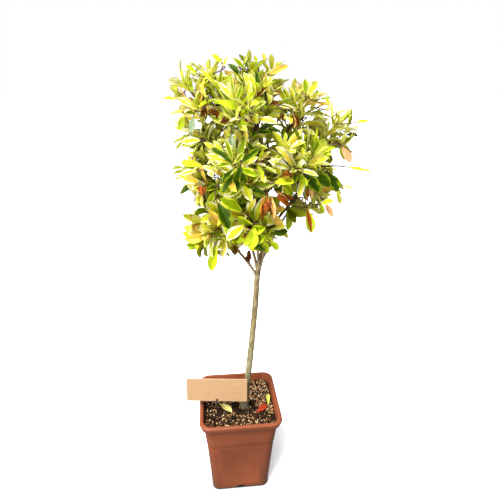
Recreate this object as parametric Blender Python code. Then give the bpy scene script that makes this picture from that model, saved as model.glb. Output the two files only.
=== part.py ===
"""Potted standard chinese photinia: a square nursery pot, a bare clear stem and a loose leafy head.

Metres, +Z up. The origin is the centre of the pot's flat underside, and the pot stands square to X and Y.
"""
import math
import random
from collections import namedtuple

import bmesh
import bpy
from mathutils import Matrix, Vector
from mathutils.bvhtree import BVHTree
from mathutils.kdtree import KDTree

# Pot, measured across its flats
POT_HEIGHT = 0.288
RIM_WIDTH = 0.250
RIM_INNER_WIDTH = 0.229
RIM_ROLL = 0.006
LIP_FOOT_WIDTH = 0.237
LIP_HEIGHT = 0.025
LIP_STEP = 0.001
BAND_TOP_WIDTH = 0.2255
BAND_FOOT_WIDTH = 0.2140
BAND_FOOT_HEIGHT = 0.203
BAND_STEP = 0.004
BODY_TOP_WIDTH = 0.2105
BASE_WIDTH = 0.181
BASE_CHAMFER = 0.006
POT_WALL = 0.003
POT_FLOOR = 0.016
CORNER_SHARE = 0.125
CORNER_STEPS = 3
NOTCH_WIDTH = 0.038
NOTCH_HEIGHT = 0.013
NOTCH_DEPTH = 0.015
NOTCH_SIDES = 24
DRAIN_RADIUS = 0.008
DRAIN_CIRCLE = 0.048
DRAIN_SIDES = 12

# Potting mix
SOIL_TOP = 0.268

# Clear stem
TRUNK_FOOT_RADIUS = 0.0100
TRUNK_TIP_RADIUS = 0.0078
TRUNK_FLARE = 0.0050
TRUNK_FLARE_HEIGHT = 0.013
TRUNK_BURIED = 0.010
TRUNK_BENDS = ((0.0172, -0.0123, SOIL_TOP - TRUNK_BURIED), (0.0192, -0.0124, 0.290), (0.0345, -0.0142, 0.464),
               (0.0476, -0.0156, 0.650), (0.0508, -0.0160, 0.729), (0.0590, -0.0170, 0.776))
TRUNK_SIDES = 10
TRUNK_STEPS = 3

# Head. Each mass: its centre, its reach along X, Y and Z, the limb that its bough leaves, how far along
# that limb, the bough's radius there, and its twigs' seed. The first one grows straight on from the stem.
MASSES = {
    "crown_top": ((0.039, 0.000, 1.220), (0.088, 0.085, 0.082), "trunk", 1.00, TRUNK_TIP_RADIUS, 416),
    "low_left": ((-0.070, -0.035, 0.886), (0.083, 0.092, 0.096), "trunk", 0.780, 0.0045, 439),
    "low_back": ((0.008, 0.095, 0.898), (0.105, 0.092, 0.093), "trunk", 0.825, 0.0045, 426),
    "low_front": ((0.027, -0.105, 0.920), (0.090, 0.090, 0.085), "trunk", 0.870, 0.0042, 439),
    "low_right": ((0.153, 0.035, 0.925), (0.088, 0.098, 0.080), "trunk", 0.915, 0.0044, 405),
    "mid_left": ((-0.084, -0.020, 1.010), (0.084, 0.100, 0.085), "bough_crown_top", 0.12, 0.0042, 439),
    "mid_right": ((0.200, 0.000, 0.998), (0.082, 0.098, 0.088), "bough_crown_top", 0.19, 0.0044, 430),
    "mid_front": ((-0.005, -0.118, 1.057), (0.100, 0.095, 0.092), "bough_crown_top", 0.26, 0.0042, 400),
    "back_left": ((-0.045, 0.112, 1.013), (0.098, 0.092, 0.097), "bough_crown_top", 0.33, 0.0042, 427),
    "mid_back": ((0.080, 0.135, 1.032), (0.100, 0.090, 0.099), "bough_crown_top", 0.39, 0.0042, 435),
    "mid_near": ((0.123, -0.115, 1.058), (0.098, 0.092, 0.092), "bough_crown_top", 0.45, 0.0042, 435),
    "back_right": ((0.190, 0.108, 1.057), (0.090, 0.088, 0.092), "bough_crown_top", 0.50, 0.0040, 426),
    "upper_left": ((-0.086, 0.030, 1.108), (0.087, 0.095, 0.084), "bough_crown_top", 0.55, 0.0040, 437),
    "right_tip": ((0.240, 0.010, 1.102), (0.074, 0.085, 0.090), "bough_mid_right", 0.55, 0.0036, 419),
    "top_right": ((0.150, -0.010, 1.166), (0.089, 0.095, 0.083), "bough_crown_top", 0.61, 0.0038, 438),
    "top_left": ((-0.086, -0.010, 1.203), (0.101, 0.095, 0.088), "bough_crown_top", 0.68, 0.0038, 410),
    "top_front": ((0.010, -0.095, 1.178), (0.100, 0.092, 0.092), "bough_crown_top", 0.75, 0.0036, 433),
    "top_back": ((0.038, 0.100, 1.169), (0.110, 0.092, 0.094), "bough_crown_top", 0.82, 0.0036, 430),
}
LEADER = "bough_crown_top"
CROWN_CENTRE = Vector((0.055, 0.0, 1.02))
BOUGH_TIP_RADIUS = 0.0030
BOUGH_POINTS = 6
BOUGH_SIDES = 6
BOUGH_RISE = 0.45
BOUGH_TRACE = 40
BOUGH_ENTRY = 0.014
BOUGH_DEPTH = 0.75
BEND_PULL = 0.36

# Shoots and leaves
SHOOTS_PER_MASS = 5
SHOOT_TRIES = 900
SHOOT_SPACING = 0.056
SPACING_EASE = 0.3
SHOOT_DEPTH = (0.20, 0.62)
SHOOT_MARGIN = 0.018
SHOOT_AWAY = 0.7
SHOOT_OUT = 0.5
SHOOT_LIFT = 0.45
SHOOT_RADIUS = 0.0018
SHOOT_SIDES = 3
TWIG_SIDES = 3
FORK_SHARE = 0.42
FORK_TAPER = 0.85
FORK_CARRY = 0.7
STEM_SIDES = 6
STEM_COLLAR = 0.005
LEAF_ROWS = 4
LEAF_STEP = 0.006
LEAF_TWIST = math.radians(35)
LEAF_TILT = (math.radians(26), math.radians(84))
TILT_SPREAD = 0.25
TURN_SPREAD = 0.5
LEAF_SAG = 0.16
LEAF_LENGTH = 0.080
LEAF_YOUNG_SHARE = 0.78
LEAF_SPREAD = (0.90, 1.08)
LEAF_WIDTH_SHARE = 0.36
LEAF_BELLY = 0.45
LEAF_THICKNESS = 0.0014
LEAF_DROOP = 0.10
LEAF_FOLD = 0.16
LEAF_STALK = 0.012
LEAF_TRIES = 14
LEAF_SHRINK = 0.35
EDGE_STEPS = 6
CELL_GAP = 0.0008
LIMB_GAP = 0.0015
SLIVER = 0.00002
SLIVER_ROUNDS = 8

# Label
LABEL_FOOT = (-0.0708, -0.0385, SOIL_TOP)
LABEL_TURN = math.radians(-6.4)
LABEL_LEAN = math.radians(5.0)
LABEL_SIZE = (0.187, 0.0038, 0.079)
LABEL_LIFT = 0.044
LABEL_EDGE = 0.0008
PICK_RADIUS = 0.0021
PICK_DEPTH = 0.055
PICK_OVERLAP = 0.010
PICK_SIDES = 8

# Leaves that have dropped onto the mix: middle, heading in degrees, length and width
DROPPED = {
    "dropped_leaf_pale": ((-0.045, -0.018), -48.0, 0.064, 0.027),
    "dropped_leaf_red": ((0.069, -0.038), 42.0, 0.060, 0.023),
    "dropped_leaf_lime": ((0.097, 0.003), 84.0, 0.058, 0.014),
}
DROPPED_THICKNESS = 0.0022

GAP = 0.0003
LIMB_CLEARANCE = 0.00036
WELD = 0.000001

Shoot = namedtuple("Shoot", "tip axis")


def clear_scene():
    for obj in list(bpy.data.objects):
        bpy.data.objects.remove(obj, do_unlink=True)


def new_collection(name):
    collection = bpy.data.collections.new(name)
    bpy.context.scene.collection.children.link(collection)
    return collection


def material(name, colour, roughness, metallic=0.0):
    made = bpy.data.materials.new(name)
    made.use_nodes = True
    shader = made.node_tree.nodes["Principled BSDF"]
    shader.inputs["Base Color"].default_value = (*colour, 1.0)
    shader.inputs["Roughness"].default_value = roughness
    shader.inputs["Metallic"].default_value = metallic
    return made


def add_object(name, mesh, collection, finish=None):
    obj = bpy.data.objects.new(name, mesh)
    collection.objects.link(obj)
    if finish:
        mesh.materials.append(finish)
    return obj


def mesh_from(bm, name):
    bmesh.ops.recalc_face_normals(bm, faces=bm.faces)
    mesh = bpy.data.meshes.new(name)
    bm.to_mesh(mesh)
    bm.free()
    return mesh


def add_cutter(name, mesh, cutters):
    cutter = add_object(name, mesh, cutters)
    cutter.hide_render = True
    cutter.display_type = "WIRE"
    return cutter


def cut_with(obj, cutter):
    cut = obj.modifiers.new("cut by " + cutter.name, "BOOLEAN")
    cut.operation = "DIFFERENCE"
    cut.object = cutter


def shade_round(obj, angle=math.radians(40)):
    obj.data.shade_smooth()
    obj.data.set_sharp_from_angle(angle=angle)


# Smooth lines and tubes


def smooth_line(points, steps):
    """A line through the points with no corners, with so many steps to each stretch."""
    ends = [points[0] * 2 - points[1], *points, points[-1] * 2 - points[-2]]
    line = []
    for before, start, end, after in zip(ends, ends[1:], ends[2:], ends[3:]):
        for step in range(steps):
            t = step / steps
            line.append(0.5 * (2 * start + (end - before) * t
                               + (2 * before - 5 * start + 4 * end - after) * t ** 2
                               + (3 * start - before - 3 * end + after) * t ** 3))
    return line + [points[-1]]


def bent_line(start, heading, end, arrival, count):
    """A line that leaves start along heading and comes to end along arrival."""
    pull = (end - start).length * BEND_PULL
    out = start + heading.normalized() * pull
    back = end - arrival.normalized() * pull
    line = []
    for t in (i / (count - 1) for i in range(count)):
        waist = out.lerp(back, t)
        near = start.lerp(out, t).lerp(waist, t)
        far = waist.lerp(back.lerp(end, t), t)
        line.append(near.lerp(far, t))
    return line


def ring_profile(sides):
    """The closed flat curve that gives a tube its sides."""
    curve = bpy.data.curves.new(f"ring of {sides}", "CURVE")
    spline = curve.splines.new("POLY")
    spline.points.add(sides - 1)
    for i, point in enumerate(spline.points):
        turn = math.tau * i / sides
        point.co = (math.cos(turn), math.sin(turn), 0, 1)
    spline.use_cyclic_u = True
    return bpy.data.objects.new(curve.name, curve)


def tube_mesh(name, line, radii, sides, twist=0.0):
    """A closed tube along a line, with its own radius at each point and a twist from each to the next."""
    ring = ring_profile(sides)
    curve = bpy.data.curves.new(name, "CURVE")
    curve.dimensions = "3D"
    curve.bevel_mode = "OBJECT"
    curve.bevel_object = ring
    curve.use_fill_caps = True
    spline = curve.splines.new("POLY")
    spline.points.add(len(line) - 1)
    for i, (point, place, radius) in enumerate(zip(spline.points, line, radii)):
        point.co = (*place, 1)
        point.radius = radius
        point.tilt = twist * i
    guide = bpy.data.objects.new(name, curve)
    bpy.context.scene.collection.objects.link(guide)
    evaluated = guide.evaluated_get(bpy.context.evaluated_depsgraph_get())
    drawn = bpy.data.meshes.new_from_object(evaluated)
    bm = bmesh.new()
    bm.from_mesh(drawn)
    bmesh.ops.remove_doubles(bm, verts=bm.verts, dist=WELD)
    bpy.data.objects.remove(guide)
    bpy.data.objects.remove(ring)
    bpy.data.meshes.remove(drawn)
    return mesh_from(bm, name)


class Limb:
    """A stem or bough: a line of points, each with its radius."""

    def __init__(self, name, line, radii):
        self.name = name
        self.line = line
        self.radii = radii

    def at(self, share):
        """The place, direction and radius at a share of the limb's points."""
        position = share * (len(self.line) - 1)
        i = min(int(position), len(self.line) - 2)
        t = position - i
        place = self.line[i].lerp(self.line[i + 1], t)
        radius = self.radii[i] + (self.radii[i + 1] - self.radii[i]) * t
        return place, (self.line[i + 1] - self.line[i]).normalized(), radius


class LimbMap:
    """Says how far a point is from the bark of the nearest limb."""

    STEP = 0.002

    def __init__(self, limbs):
        beads = []
        for limb in limbs:
            for i, (start, end) in enumerate(zip(limb.line, limb.line[1:])):
                count = max(1, round((end - start).length / self.STEP))
                for t in (n / count for n in range(count + 1)):
                    radius = limb.radii[i] + (limb.radii[i + 1] - limb.radii[i]) * t
                    beads.append((start.lerp(end, t), radius))
        self.radii = [radius for _, radius in beads]
        self.tree = KDTree(len(beads))
        for i, (place, _) in enumerate(beads):
            self.tree.insert(place, i)
        self.tree.balance()

    def gap(self, point):
        _, i, distance = self.tree.find(point)
        return distance - self.radii[i]


# Pot, potting mix and label


def square_loft(name, levels):
    """A solid with rounded square sections, drawn through levels of height and width in turn."""
    height, width = levels[0]
    bm = bmesh.new()
    bmesh.ops.create_grid(bm, x_segments=1, y_segments=1, size=width / 2)
    bmesh.ops.translate(bm, verts=bm.verts, vec=(0, 0, height))
    bmesh.ops.bevel(bm, geom=list(bm.verts), offset=width * CORNER_SHARE, segments=CORNER_STEPS,
                    profile=0.5, affect="VERTICES")
    top = list(bm.faces)
    for step, (height, width) in enumerate(levels[1:]):
        grown = bmesh.ops.extrude_face_region(bm, geom=top)["geom"]
        if step:
            bmesh.ops.delete(bm, geom=top, context="FACES_ONLY")
        top = [item for item in grown if isinstance(item, bmesh.types.BMFace)]
        scale = width / levels[step][1]
        for vert in (item for item in grown if isinstance(item, bmesh.types.BMVert)):
            vert.co = (vert.co.x * scale, vert.co.y * scale, height)
    return mesh_from(bm, name)


def body_width(height):
    """The width of the pot's plain body, which widens evenly upwards."""
    return BASE_WIDTH + (BODY_TOP_WIDTH - BASE_WIDTH) * height / BAND_FOOT_HEIGHT


def inner_levels():
    """The pot's inner wall, as heights and widths from the floor up."""
    return ((POT_FLOOR, body_width(POT_FLOOR) - 2 * POT_WALL),
            (BAND_FOOT_HEIGHT, BODY_TOP_WIDTH - 2 * POT_WALL),
            (POT_HEIGHT - RIM_ROLL, RIM_INNER_WIDTH - RIM_ROLL / 3))


def outer_levels():
    """The pot's outer wall, from the underside up to the crest of its lip."""
    lip_foot = POT_HEIGHT - LIP_HEIGHT
    return ((0.0, BASE_WIDTH - 2 * BASE_CHAMFER / 3), (BASE_CHAMFER, body_width(BASE_CHAMFER)),
            (BAND_FOOT_HEIGHT, BODY_TOP_WIDTH), (BAND_FOOT_HEIGHT + BAND_STEP, BAND_FOOT_WIDTH),
            (lip_foot, BAND_TOP_WIDTH), (lip_foot + LIP_STEP, LIP_FOOT_WIDTH),
            (lip_foot + 4 * LIP_STEP, LIP_FOOT_WIDTH + 5 * LIP_STEP), (POT_HEIGHT - RIM_ROLL, RIM_WIDTH),
            (POT_HEIGHT - RIM_ROLL / 3, RIM_WIDTH - RIM_ROLL / 3), (POT_HEIGHT, RIM_WIDTH - 4 * RIM_ROLL / 3),
            (POT_HEIGHT, RIM_INNER_WIDTH + 2 * RIM_ROLL / 3), (POT_HEIGHT - RIM_ROLL / 6, RIM_INNER_WIDTH))


def drain_cutter_mesh():
    """Four arched notches at the foot of the sides, and four holes in the floor between them."""
    bm = bmesh.new()
    radius = (NOTCH_WIDTH ** 2 / 4 + NOTCH_HEIGHT ** 2) / (2 * NOTCH_HEIGHT)
    for side in range(4):
        turn = Matrix.Rotation(side * math.pi / 2, 4, "Z")
        arch = Matrix.Translation((0, BASE_WIDTH / 2, NOTCH_HEIGHT - radius))
        arch = arch @ Matrix.Rotation(math.pi / 2, 4, "X")
        bmesh.ops.create_cone(bm, cap_ends=True, segments=NOTCH_SIDES, radius1=radius, radius2=radius,
                              depth=2 * NOTCH_DEPTH, matrix=turn @ arch)
        eighth = Matrix.Rotation(math.pi / 4, 4, "Z")
        hole = eighth @ turn @ Matrix.Translation((DRAIN_CIRCLE, 0, 0))
        bmesh.ops.create_cone(bm, cap_ends=True, segments=DRAIN_SIDES, radius1=DRAIN_RADIUS,
                              radius2=DRAIN_RADIUS, depth=3 * POT_FLOOR, matrix=hole)
    return mesh_from(bm, "drain cutter")


def make_pot(parts, cutters):
    levels = (*outer_levels(), *reversed(inner_levels()))
    plastic = material("terracotta plastic", (0.42, 0.13, 0.06), 0.5)
    pot = add_object("pot", square_loft("pot", levels), parts, plastic)
    cut_with(pot, add_cutter("drain cutter", drain_cutter_mesh(), cutters))
    shade_round(pot)


def soil_levels():
    (floor, floor_width), (band, band_width), (rim, rim_width) = inner_levels()
    share = (SOIL_TOP - band) / (rim - band)
    top_width = band_width + (rim_width - band_width) * share
    return ((floor + GAP, floor_width - 3 * GAP), (band, band_width - 3 * GAP),
            (SOIL_TOP, top_width - 3 * GAP))


def label_frame():
    """The label's own frame: the board stands along Z above its foot, and faces along -Y."""
    turn = Matrix.Rotation(LABEL_TURN, 4, "Z") @ Matrix.Rotation(-LABEL_LEAN, 4, "X")
    return Matrix.Translation(LABEL_FOOT) @ turn


def rod_mesh(name, radius, low, high):
    """A round rod against the front of the label's board, from one height to another."""
    bm = bmesh.new()
    forward = LABEL_SIZE[1] / 2 + GAP + PICK_RADIUS
    place = label_frame() @ Matrix.Translation((0, -forward, (low + high) / 2))
    bmesh.ops.create_cone(bm, cap_ends=True, segments=PICK_SIDES, radius1=radius, radius2=radius,
                          depth=high - low, matrix=place)
    return mesh_from(bm, name)


def make_soil(parts, cutters):
    soil = add_object("soil", square_loft("soil", soil_levels()), parts,
                      material("potting mix", (0.035, 0.024, 0.016), 0.95))
    hole = rod_mesh("pick hole", PICK_RADIUS + GAP, -PICK_DEPTH - GAP, LABEL_LIFT)
    cut_with(soil, add_cutter("pick hole", hole, cutters))


def make_label(parts):
    width, thickness, height = LABEL_SIZE
    bm = bmesh.new()
    raised = Matrix.Translation((0, 0, LABEL_LIFT + height / 2))
    size = Matrix.Diagonal((width, thickness, height, 1))
    bmesh.ops.create_cube(bm, size=1, matrix=label_frame() @ raised @ size)
    bmesh.ops.bevel(bm, geom=list(bm.edges), offset=LABEL_EDGE, segments=1, affect="EDGES")
    board_wood = material("pale board", (0.72, 0.50, 0.27), 0.6)
    add_object("label_board", mesh_from(bm, "label board"), parts, board_wood)
    dark_wood = material("dark pick", (0.03, 0.025, 0.02), 0.5)
    pick = rod_mesh("label pick", PICK_RADIUS, -PICK_DEPTH, LABEL_LIFT + PICK_OVERLAP)
    shade_round(add_object("label_pick", pick, parts, dark_wood))


# Stem and boughs


def trunk_limb():
    line = smooth_line([Vector(bend) for bend in TRUNK_BENDS], TRUNK_STEPS)
    radii = []
    for place in line:
        height = place.z - SOIL_TOP
        share = height / (line[-1].z - SOIL_TOP)
        taper = TRUNK_FOOT_RADIUS + (TRUNK_TIP_RADIUS - TRUNK_FOOT_RADIUS) * share
        radii.append(taper + TRUNK_FLARE * math.exp(-max(height, 0) / TRUNK_FLARE_HEIGHT))
    return Limb("trunk", line, radii)


def make_trunk(trunk, parts, bark):
    """The stem's tube, cut off flat and level just above the mix."""
    bm = bmesh.new()
    tube = tube_mesh("trunk", trunk.line, trunk.radii, TRUNK_SIDES)
    bm.from_mesh(tube)
    cut = bmesh.ops.bisect_plane(bm, geom=[*bm.verts, *bm.edges, *bm.faces], plane_co=(0, 0, SOIL_TOP + GAP),
                                 plane_no=(0, 0, 1), clear_inner=True)
    rim = [item for item in cut["geom_cut"] if isinstance(item, bmesh.types.BMEdge)]
    bmesh.ops.contextual_create(bm, geom=rim)
    shade_round(add_object("trunk", mesh_from(bm, "trunk"), parts, bark))


class Mass:
    """A mass of foliage: an ellipsoid that gives way to its neighbours along flat planes."""

    def __init__(self, name, centre, reach):
        self.name = name
        self.centre = Vector(centre)
        self.reach = Vector(reach)
        self.walls = []

    def reach_towards(self, direction):
        return math.sqrt(sum((r * d) ** 2 for r, d in zip(self.reach, direction)))

    def meet(self, others):
        for other in others:
            across = other.centre - self.centre
            direction = across.normalized()
            mine, theirs = self.reach_towards(direction), other.reach_towards(direction)
            if other is not self and across.length < mine + theirs:
                self.walls.append((direction, across.length * mine / (mine + theirs)))

    def depth(self, point):
        """0 at the centre of the ellipsoid and 1 on its surface."""
        offset = point - self.centre
        return math.sqrt(sum((o / r) ** 2 for o, r in zip(offset, self.reach)))

    def holds(self, point, margin):
        offset = point - self.centre
        inside = sum((o / (r - margin)) ** 2 for o, r in zip(offset, self.reach)) <= 1
        return inside and all(offset.dot(direction) <= wall - margin for direction, wall in self.walls)


def grow_bough(mass, parent, share, radius):
    """One tapering limb from its parent's middle to just inside the mass that it carries."""
    start, along, _ = parent.at(share)
    outward = (mass.centre - start).normalized()
    if share == 1:
        start = start + along * GAP
        heading = along
    else:
        heading = outward + along * BOUGH_RISE
    line = bent_line(start, heading, mass.centre, outward, BOUGH_TRACE)
    entry = next(i for i, point in enumerate(line)
                 if mass.holds(point, BOUGH_ENTRY) and mass.depth(point) < BOUGH_DEPTH)
    shares = [i / (BOUGH_POINTS - 1) for i in range(BOUGH_POINTS)]
    picked = [line[round(t * entry)] for t in shares]
    if share == 1:
        picked[1] = start + along * (picked[1] - start).length
    return Limb("bough_" + mass.name, picked, [radius + (BOUGH_TIP_RADIUS - radius) * t for t in shares])


def fat_cutter(limb, cutters):
    """The limb's tube with the gap added all round, made once."""
    name = "clear of " + limb.name
    if name not in cutters.objects:
        sides = TRUNK_SIDES if limb.name == "trunk" else BOUGH_SIDES
        radii = [radius + LIMB_CLEARANCE for radius in limb.radii]
        add_cutter(name, tube_mesh(name, limb.line, radii, sides), cutters)
    return cutters.objects[name]


def make_bough(bough, neighbours, parts, cutters, bark):
    """The bough's tube, with its root coped to fit round the limbs that it leaves."""
    made = add_object(bough.name, tube_mesh(bough.name, bough.line, bough.radii, BOUGH_SIDES), parts, bark)
    shade_round(made)
    for limb in neighbours:
        cut_with(made, fat_cutter(limb, cutters))


# Twigs and leaves


def pick_shoots(mass, limb_map, rng):
    """Well spaced places in the mass's outer part, each with the way that its shoot points."""
    shoots = []
    for tries in range(SHOOT_TRIES):
        spacing = SHOOT_SPACING * (1 - SPACING_EASE * tries / SHOOT_TRIES)
        point = mass.centre + Vector(rng.uniform(-r, r) for r in mass.reach)
        if not SHOOT_DEPTH[0] < mass.depth(point) < SHOOT_DEPTH[1] or not mass.holds(point, SHOOT_MARGIN):
            continue
        apart = all((point - other.tip).length > spacing for other in shoots)
        if apart and limb_map.gap(point) > SHOOT_MARGIN:
            away = (point - CROWN_CENTRE).normalized() * SHOOT_AWAY
            out = (point - mass.centre).normalized() * SHOOT_OUT
            shoots.append(Shoot(point, (away + out + Vector((0, 0, SHOOT_LIFT))).normalized()))
        if len(shoots) == SHOOTS_PER_MASS:
            break
    return shoots


def middle(shoots):
    return sum((shoot.tip for shoot in shoots), Vector()) / len(shoots)


def split_group(shoots):
    """Two halves of a group, parted across its longest direction."""
    centre = middle(shoots)
    axis = max((shoot.tip - centre for shoot in shoots), key=lambda offset: offset.length)
    ordered = sorted(shoots, key=lambda shoot: shoot.tip.dot(axis))
    half = len(ordered) // 2
    return ordered[:half], ordered[half:]


def leafy_line(start, heading, shoot):
    """A twig's line, which ends in the short straight rows that carry its leaves."""
    rows = [shoot.tip - shoot.axis * LEAF_STEP * row for row in range(LEAF_ROWS, -1, -1)]
    return bent_line(start, heading, rows[0], shoot.axis, 3) + rows[1:]


def grow_twigs(start, heading, shoots, total):
    """Twigs that fork in two until each ends at one shoot, thinner as they carry fewer."""
    thick = max(SHOOT_RADIUS, BOUGH_TIP_RADIUS * math.sqrt(len(shoots) / total))
    if len(shoots) == 1:
        line = leafy_line(start, heading, shoots[0])
        return [Limb("shoot", line, [thick, *[SHOOT_RADIUS] * (len(line) - 1)])]
    fork = start.lerp(middle(shoots), FORK_SHARE)
    thin = max(SHOOT_RADIUS, thick * FORK_TAPER)
    stem = Limb("twig", bent_line(start, heading, fork, fork - start, 3), [thick, thick, thin])
    onward = (stem.line[-1] - stem.line[-2]).normalized()
    twigs = [stem]
    for group in split_group(shoots):
        aim = (middle(group) - fork).normalized()
        twigs += grow_twigs(fork - onward * thin, onward * FORK_CARRY + aim, group, total)
    return twigs


class Leaf:
    """A leaf's corners: its root, its tip, its widest place from edge to edge, and the thickness there."""

    def __init__(self, root, along, upper, length):
        across = upper.cross(along).normalized()
        belly = root + along * length * LEAF_BELLY
        side = across * length * LEAF_WIDTH_SHARE / 2
        fold = upper * length * LEAF_WIDTH_SHARE * LEAF_FOLD
        thick = upper * LEAF_THICKNESS / 2
        self.root = root
        self.tip = root + along * length - upper * length * LEAF_DROOP
        self.middle = belly
        self.belly = [belly + side + fold, belly + thick, belly - side + fold, belly - thick]

    def blade(self, stalk):
        """The flat blade beyond so much of the stalk, to test what it crosses."""
        left, _, right, _ = self.belly
        start = self.root + (self.tip - self.root).normalized() * stalk
        return BVHTree.FromPolygons([start, left, self.tip, right], [(0, 1, 2), (0, 2, 3)])

    def fits(self, mass, limb_map, siblings, taken):
        """True where it stays in its mass, clear of the limbs and of the leaves and twigs already there."""
        if not all(mass.holds(corner, CELL_GAP) for corner in (self.tip, *self.belly)):
            return False
        left, _, right, _ = self.belly
        round_edge = (self.root, left, self.tip, right, self.root, self.tip)
        samples = [start.lerp(end, t / EDGE_STEPS)
                   for start, end in zip(round_edge, round_edge[1:]) for t in range(EDGE_STEPS + 1)]
        if not all(limb_map.gap(point) > LIMB_GAP + LEAF_THICKNESS for point in samples):
            return False
        blade = self.blade(LEAF_STALK)
        if any(blade.overlap(leaf.blade(LEAF_STALK)) for leaf in siblings):
            return False
        whole = self.blade(0)
        return not any(whole.overlap(other) for other in taken)

    def grow(self, bm, face):
        """Draws the twig's side face out to the leaf's widest place and on to its tip."""
        grown = bmesh.ops.extrude_discrete_faces(bm, faces=[face])["faces"][0]
        verts = list(grown.verts)

        def match(first):
            return sum((verts[(first + i) % 4].co - self.root).dot(corner - self.middle)
                       for i, corner in enumerate(self.belly))

        first = max(range(4), key=match)
        for i, place in enumerate(self.belly):
            verts[(first + i) % 4].co = place
        bmesh.ops.poke(bm, faces=[grown])["verts"][0].co = self.tip


def tube_tree(mesh):
    places = [vert.co for vert in mesh.vertices]
    return BVHTree.FromPolygons(places, [face.vertices for face in mesh.polygons])


def leaf_seats(bm, shoot):
    """The twig's side faces that carry leaves, from the tip down: each row leaves a different side bare."""
    tip = shoot.line[-1]
    axis = (tip - shoot.line[-2]).normalized()
    side = axis.orthogonal().normalized()
    rows = [[] for _ in range(LEAF_ROWS)]
    for face in bm.faces:
        offset = face.calc_center_median() - tip
        row = int(-offset.dot(axis) / LEAF_STEP)
        if len(face.verts) == 4 and abs(face.normal.dot(axis)) < 0.5 and row < LEAF_ROWS:
            rows[row].append((math.atan2(offset.dot(axis.cross(side)), offset.dot(side)), face))
    seats = []
    for i, row in enumerate(rows):
        row.sort(key=lambda item: item[0])
        seats += [(i / (LEAF_ROWS - 1), face) for n, (_, face) in enumerate(row) if n != i % SHOOT_SIDES]
    return axis, seats


def shoot_mesh(shoot, mass, limb_map, taken, rng):
    """A twig with its leaves drawn out of it: steep young ones at the tip and flatter old ones below."""
    bm = bmesh.new()
    tube = tube_mesh("shoot", shoot.line, shoot.radii, SHOOT_SIDES, LEAF_TWIST)
    bm.from_mesh(tube)
    bpy.data.meshes.remove(tube)
    bm.normal_update()
    axis, seats = leaf_seats(bm, shoot)
    siblings = []
    for age, face in seats:
        out = (face.normal - axis * axis.dot(face.normal)).normalized()
        root = face.calc_center_median()
        size = LEAF_LENGTH * (LEAF_YOUNG_SHARE + (1 - LEAF_YOUNG_SHARE) * age) * rng.uniform(*LEAF_SPREAD)
        for tries in range(LEAF_TRIES):
            tilt = LEAF_TILT[0] + (LEAF_TILT[1] - LEAF_TILT[0]) * age + rng.uniform(-TILT_SPREAD, TILT_SPREAD)
            aim = Matrix.Rotation(rng.uniform(-TURN_SPREAD, TURN_SPREAD), 3, axis) @ out
            sag = Vector((0, 0, LEAF_SAG * age))
            along = (axis * math.cos(tilt) + aim * math.sin(tilt) - sag).normalized()
            upper = (axis - along * axis.dot(along)).normalized()
            leaf = Leaf(root, along, upper, size * (1 - LEAF_SHRINK * tries / LEAF_TRIES))
            if leaf.fits(mass, limb_map, siblings, taken):
                leaf.grow(bm, face)
                siblings.append(leaf)
                break
    taken += [leaf.blade(0) for leaf in siblings]
    mesh = bpy.data.meshes.new("shoot")
    bm.to_mesh(mesh)
    bm.free()
    return mesh


def sliver_height(face):
    """How far a triangle's far corner stands from its longest edge."""
    return 2 * face.calc_area() / max(edge.calc_length() for edge in face.edges)


def far_corners(edge):
    """The corners across an edge, one in each of its two triangles."""
    return {vert for face in edge.link_faces for vert in face.verts} - set(edge.verts)


def close_edge(bm, edge):
    """Draws an edge's ends together where that leaves the skin whole."""
    first, second = ({edge.other_vert(vert) for edge in vert.link_edges} for vert in edge.verts)
    if first & second == far_corners(edge):
        bmesh.ops.pointmerge(bm, verts=edge.verts, merge_co=edge.verts[0].co)


def turn_edge(edge):
    """Lays an edge the other way across its two triangles where no edge lies there yet."""
    one, other = far_corners(edge)
    if other not in {side.other_vert(one) for side in one.link_edges}:
        bmesh.utils.edge_rotate(edge)


def close_slivers(bm):
    """Cuts the skin into triangles and closes the finest slivers that a union leaves."""
    idle = [vert for vert in bm.verts if len(vert.link_edges) == 2]
    bmesh.ops.dissolve_verts(bm, verts=idle)
    bmesh.ops.triangulate(bm, faces=bm.faces)
    for _ in range(SLIVER_ROUNDS):
        for face in list(bm.faces):
            if not face.is_valid or sliver_height(face) > SLIVER:
                continue
            edges = sorted(face.edges, key=lambda edge: edge.calc_length())
            if edges[0].calc_length() < SLIVER:
                close_edge(bm, edges[0])
            else:
                turn_edge(edges[-1])


def keep_largest_body(mesh):
    """Drops loose scraps, and fills sealed hollows by dropping their inner skins."""
    bm = bmesh.new()
    bm.from_mesh(mesh)
    waiting = set(bm.faces)
    bodies = []
    while waiting:
        edge = [waiting.pop()]
        body = set(edge)
        while edge:
            near = {other for face in edge for side in face.edges for other in side.link_faces}
            edge = list(near - body)
            body |= near
        waiting -= body
        bodies.append(body)
    keep = max(bodies, key=len)
    bmesh.ops.delete(bm, geom=[face for face in bm.faces if face not in keep], context="FACES")
    close_slivers(bm)
    bm.to_mesh(mesh)
    bm.free()
    return mesh


def fuse(name, meshes, parts, finish):
    """One solid from many overlapping ones."""
    made = add_object(name, meshes[0], parts)
    pieces = new_collection("pieces of " + name)
    for mesh in meshes[1:]:
        add_object(mesh.name, mesh, pieces)
    union = made.modifiers.new("union", "BOOLEAN")
    union.operation = "UNION"
    union.operand_type = "COLLECTION"
    union.collection = pieces
    union.solver = "MANIFOLD"
    evaluated = made.evaluated_get(bpy.context.evaluated_depsgraph_get())
    fused = keep_largest_body(bpy.data.meshes.new_from_object(evaluated))
    made.modifiers.clear()
    made.data = fused
    fused.materials.clear()
    fused.materials.append(finish)
    for piece in list(pieces.objects):
        bpy.data.objects.remove(piece)
    bpy.data.collections.remove(pieces)
    for mesh in meshes:
        bpy.data.meshes.remove(mesh)


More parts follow.
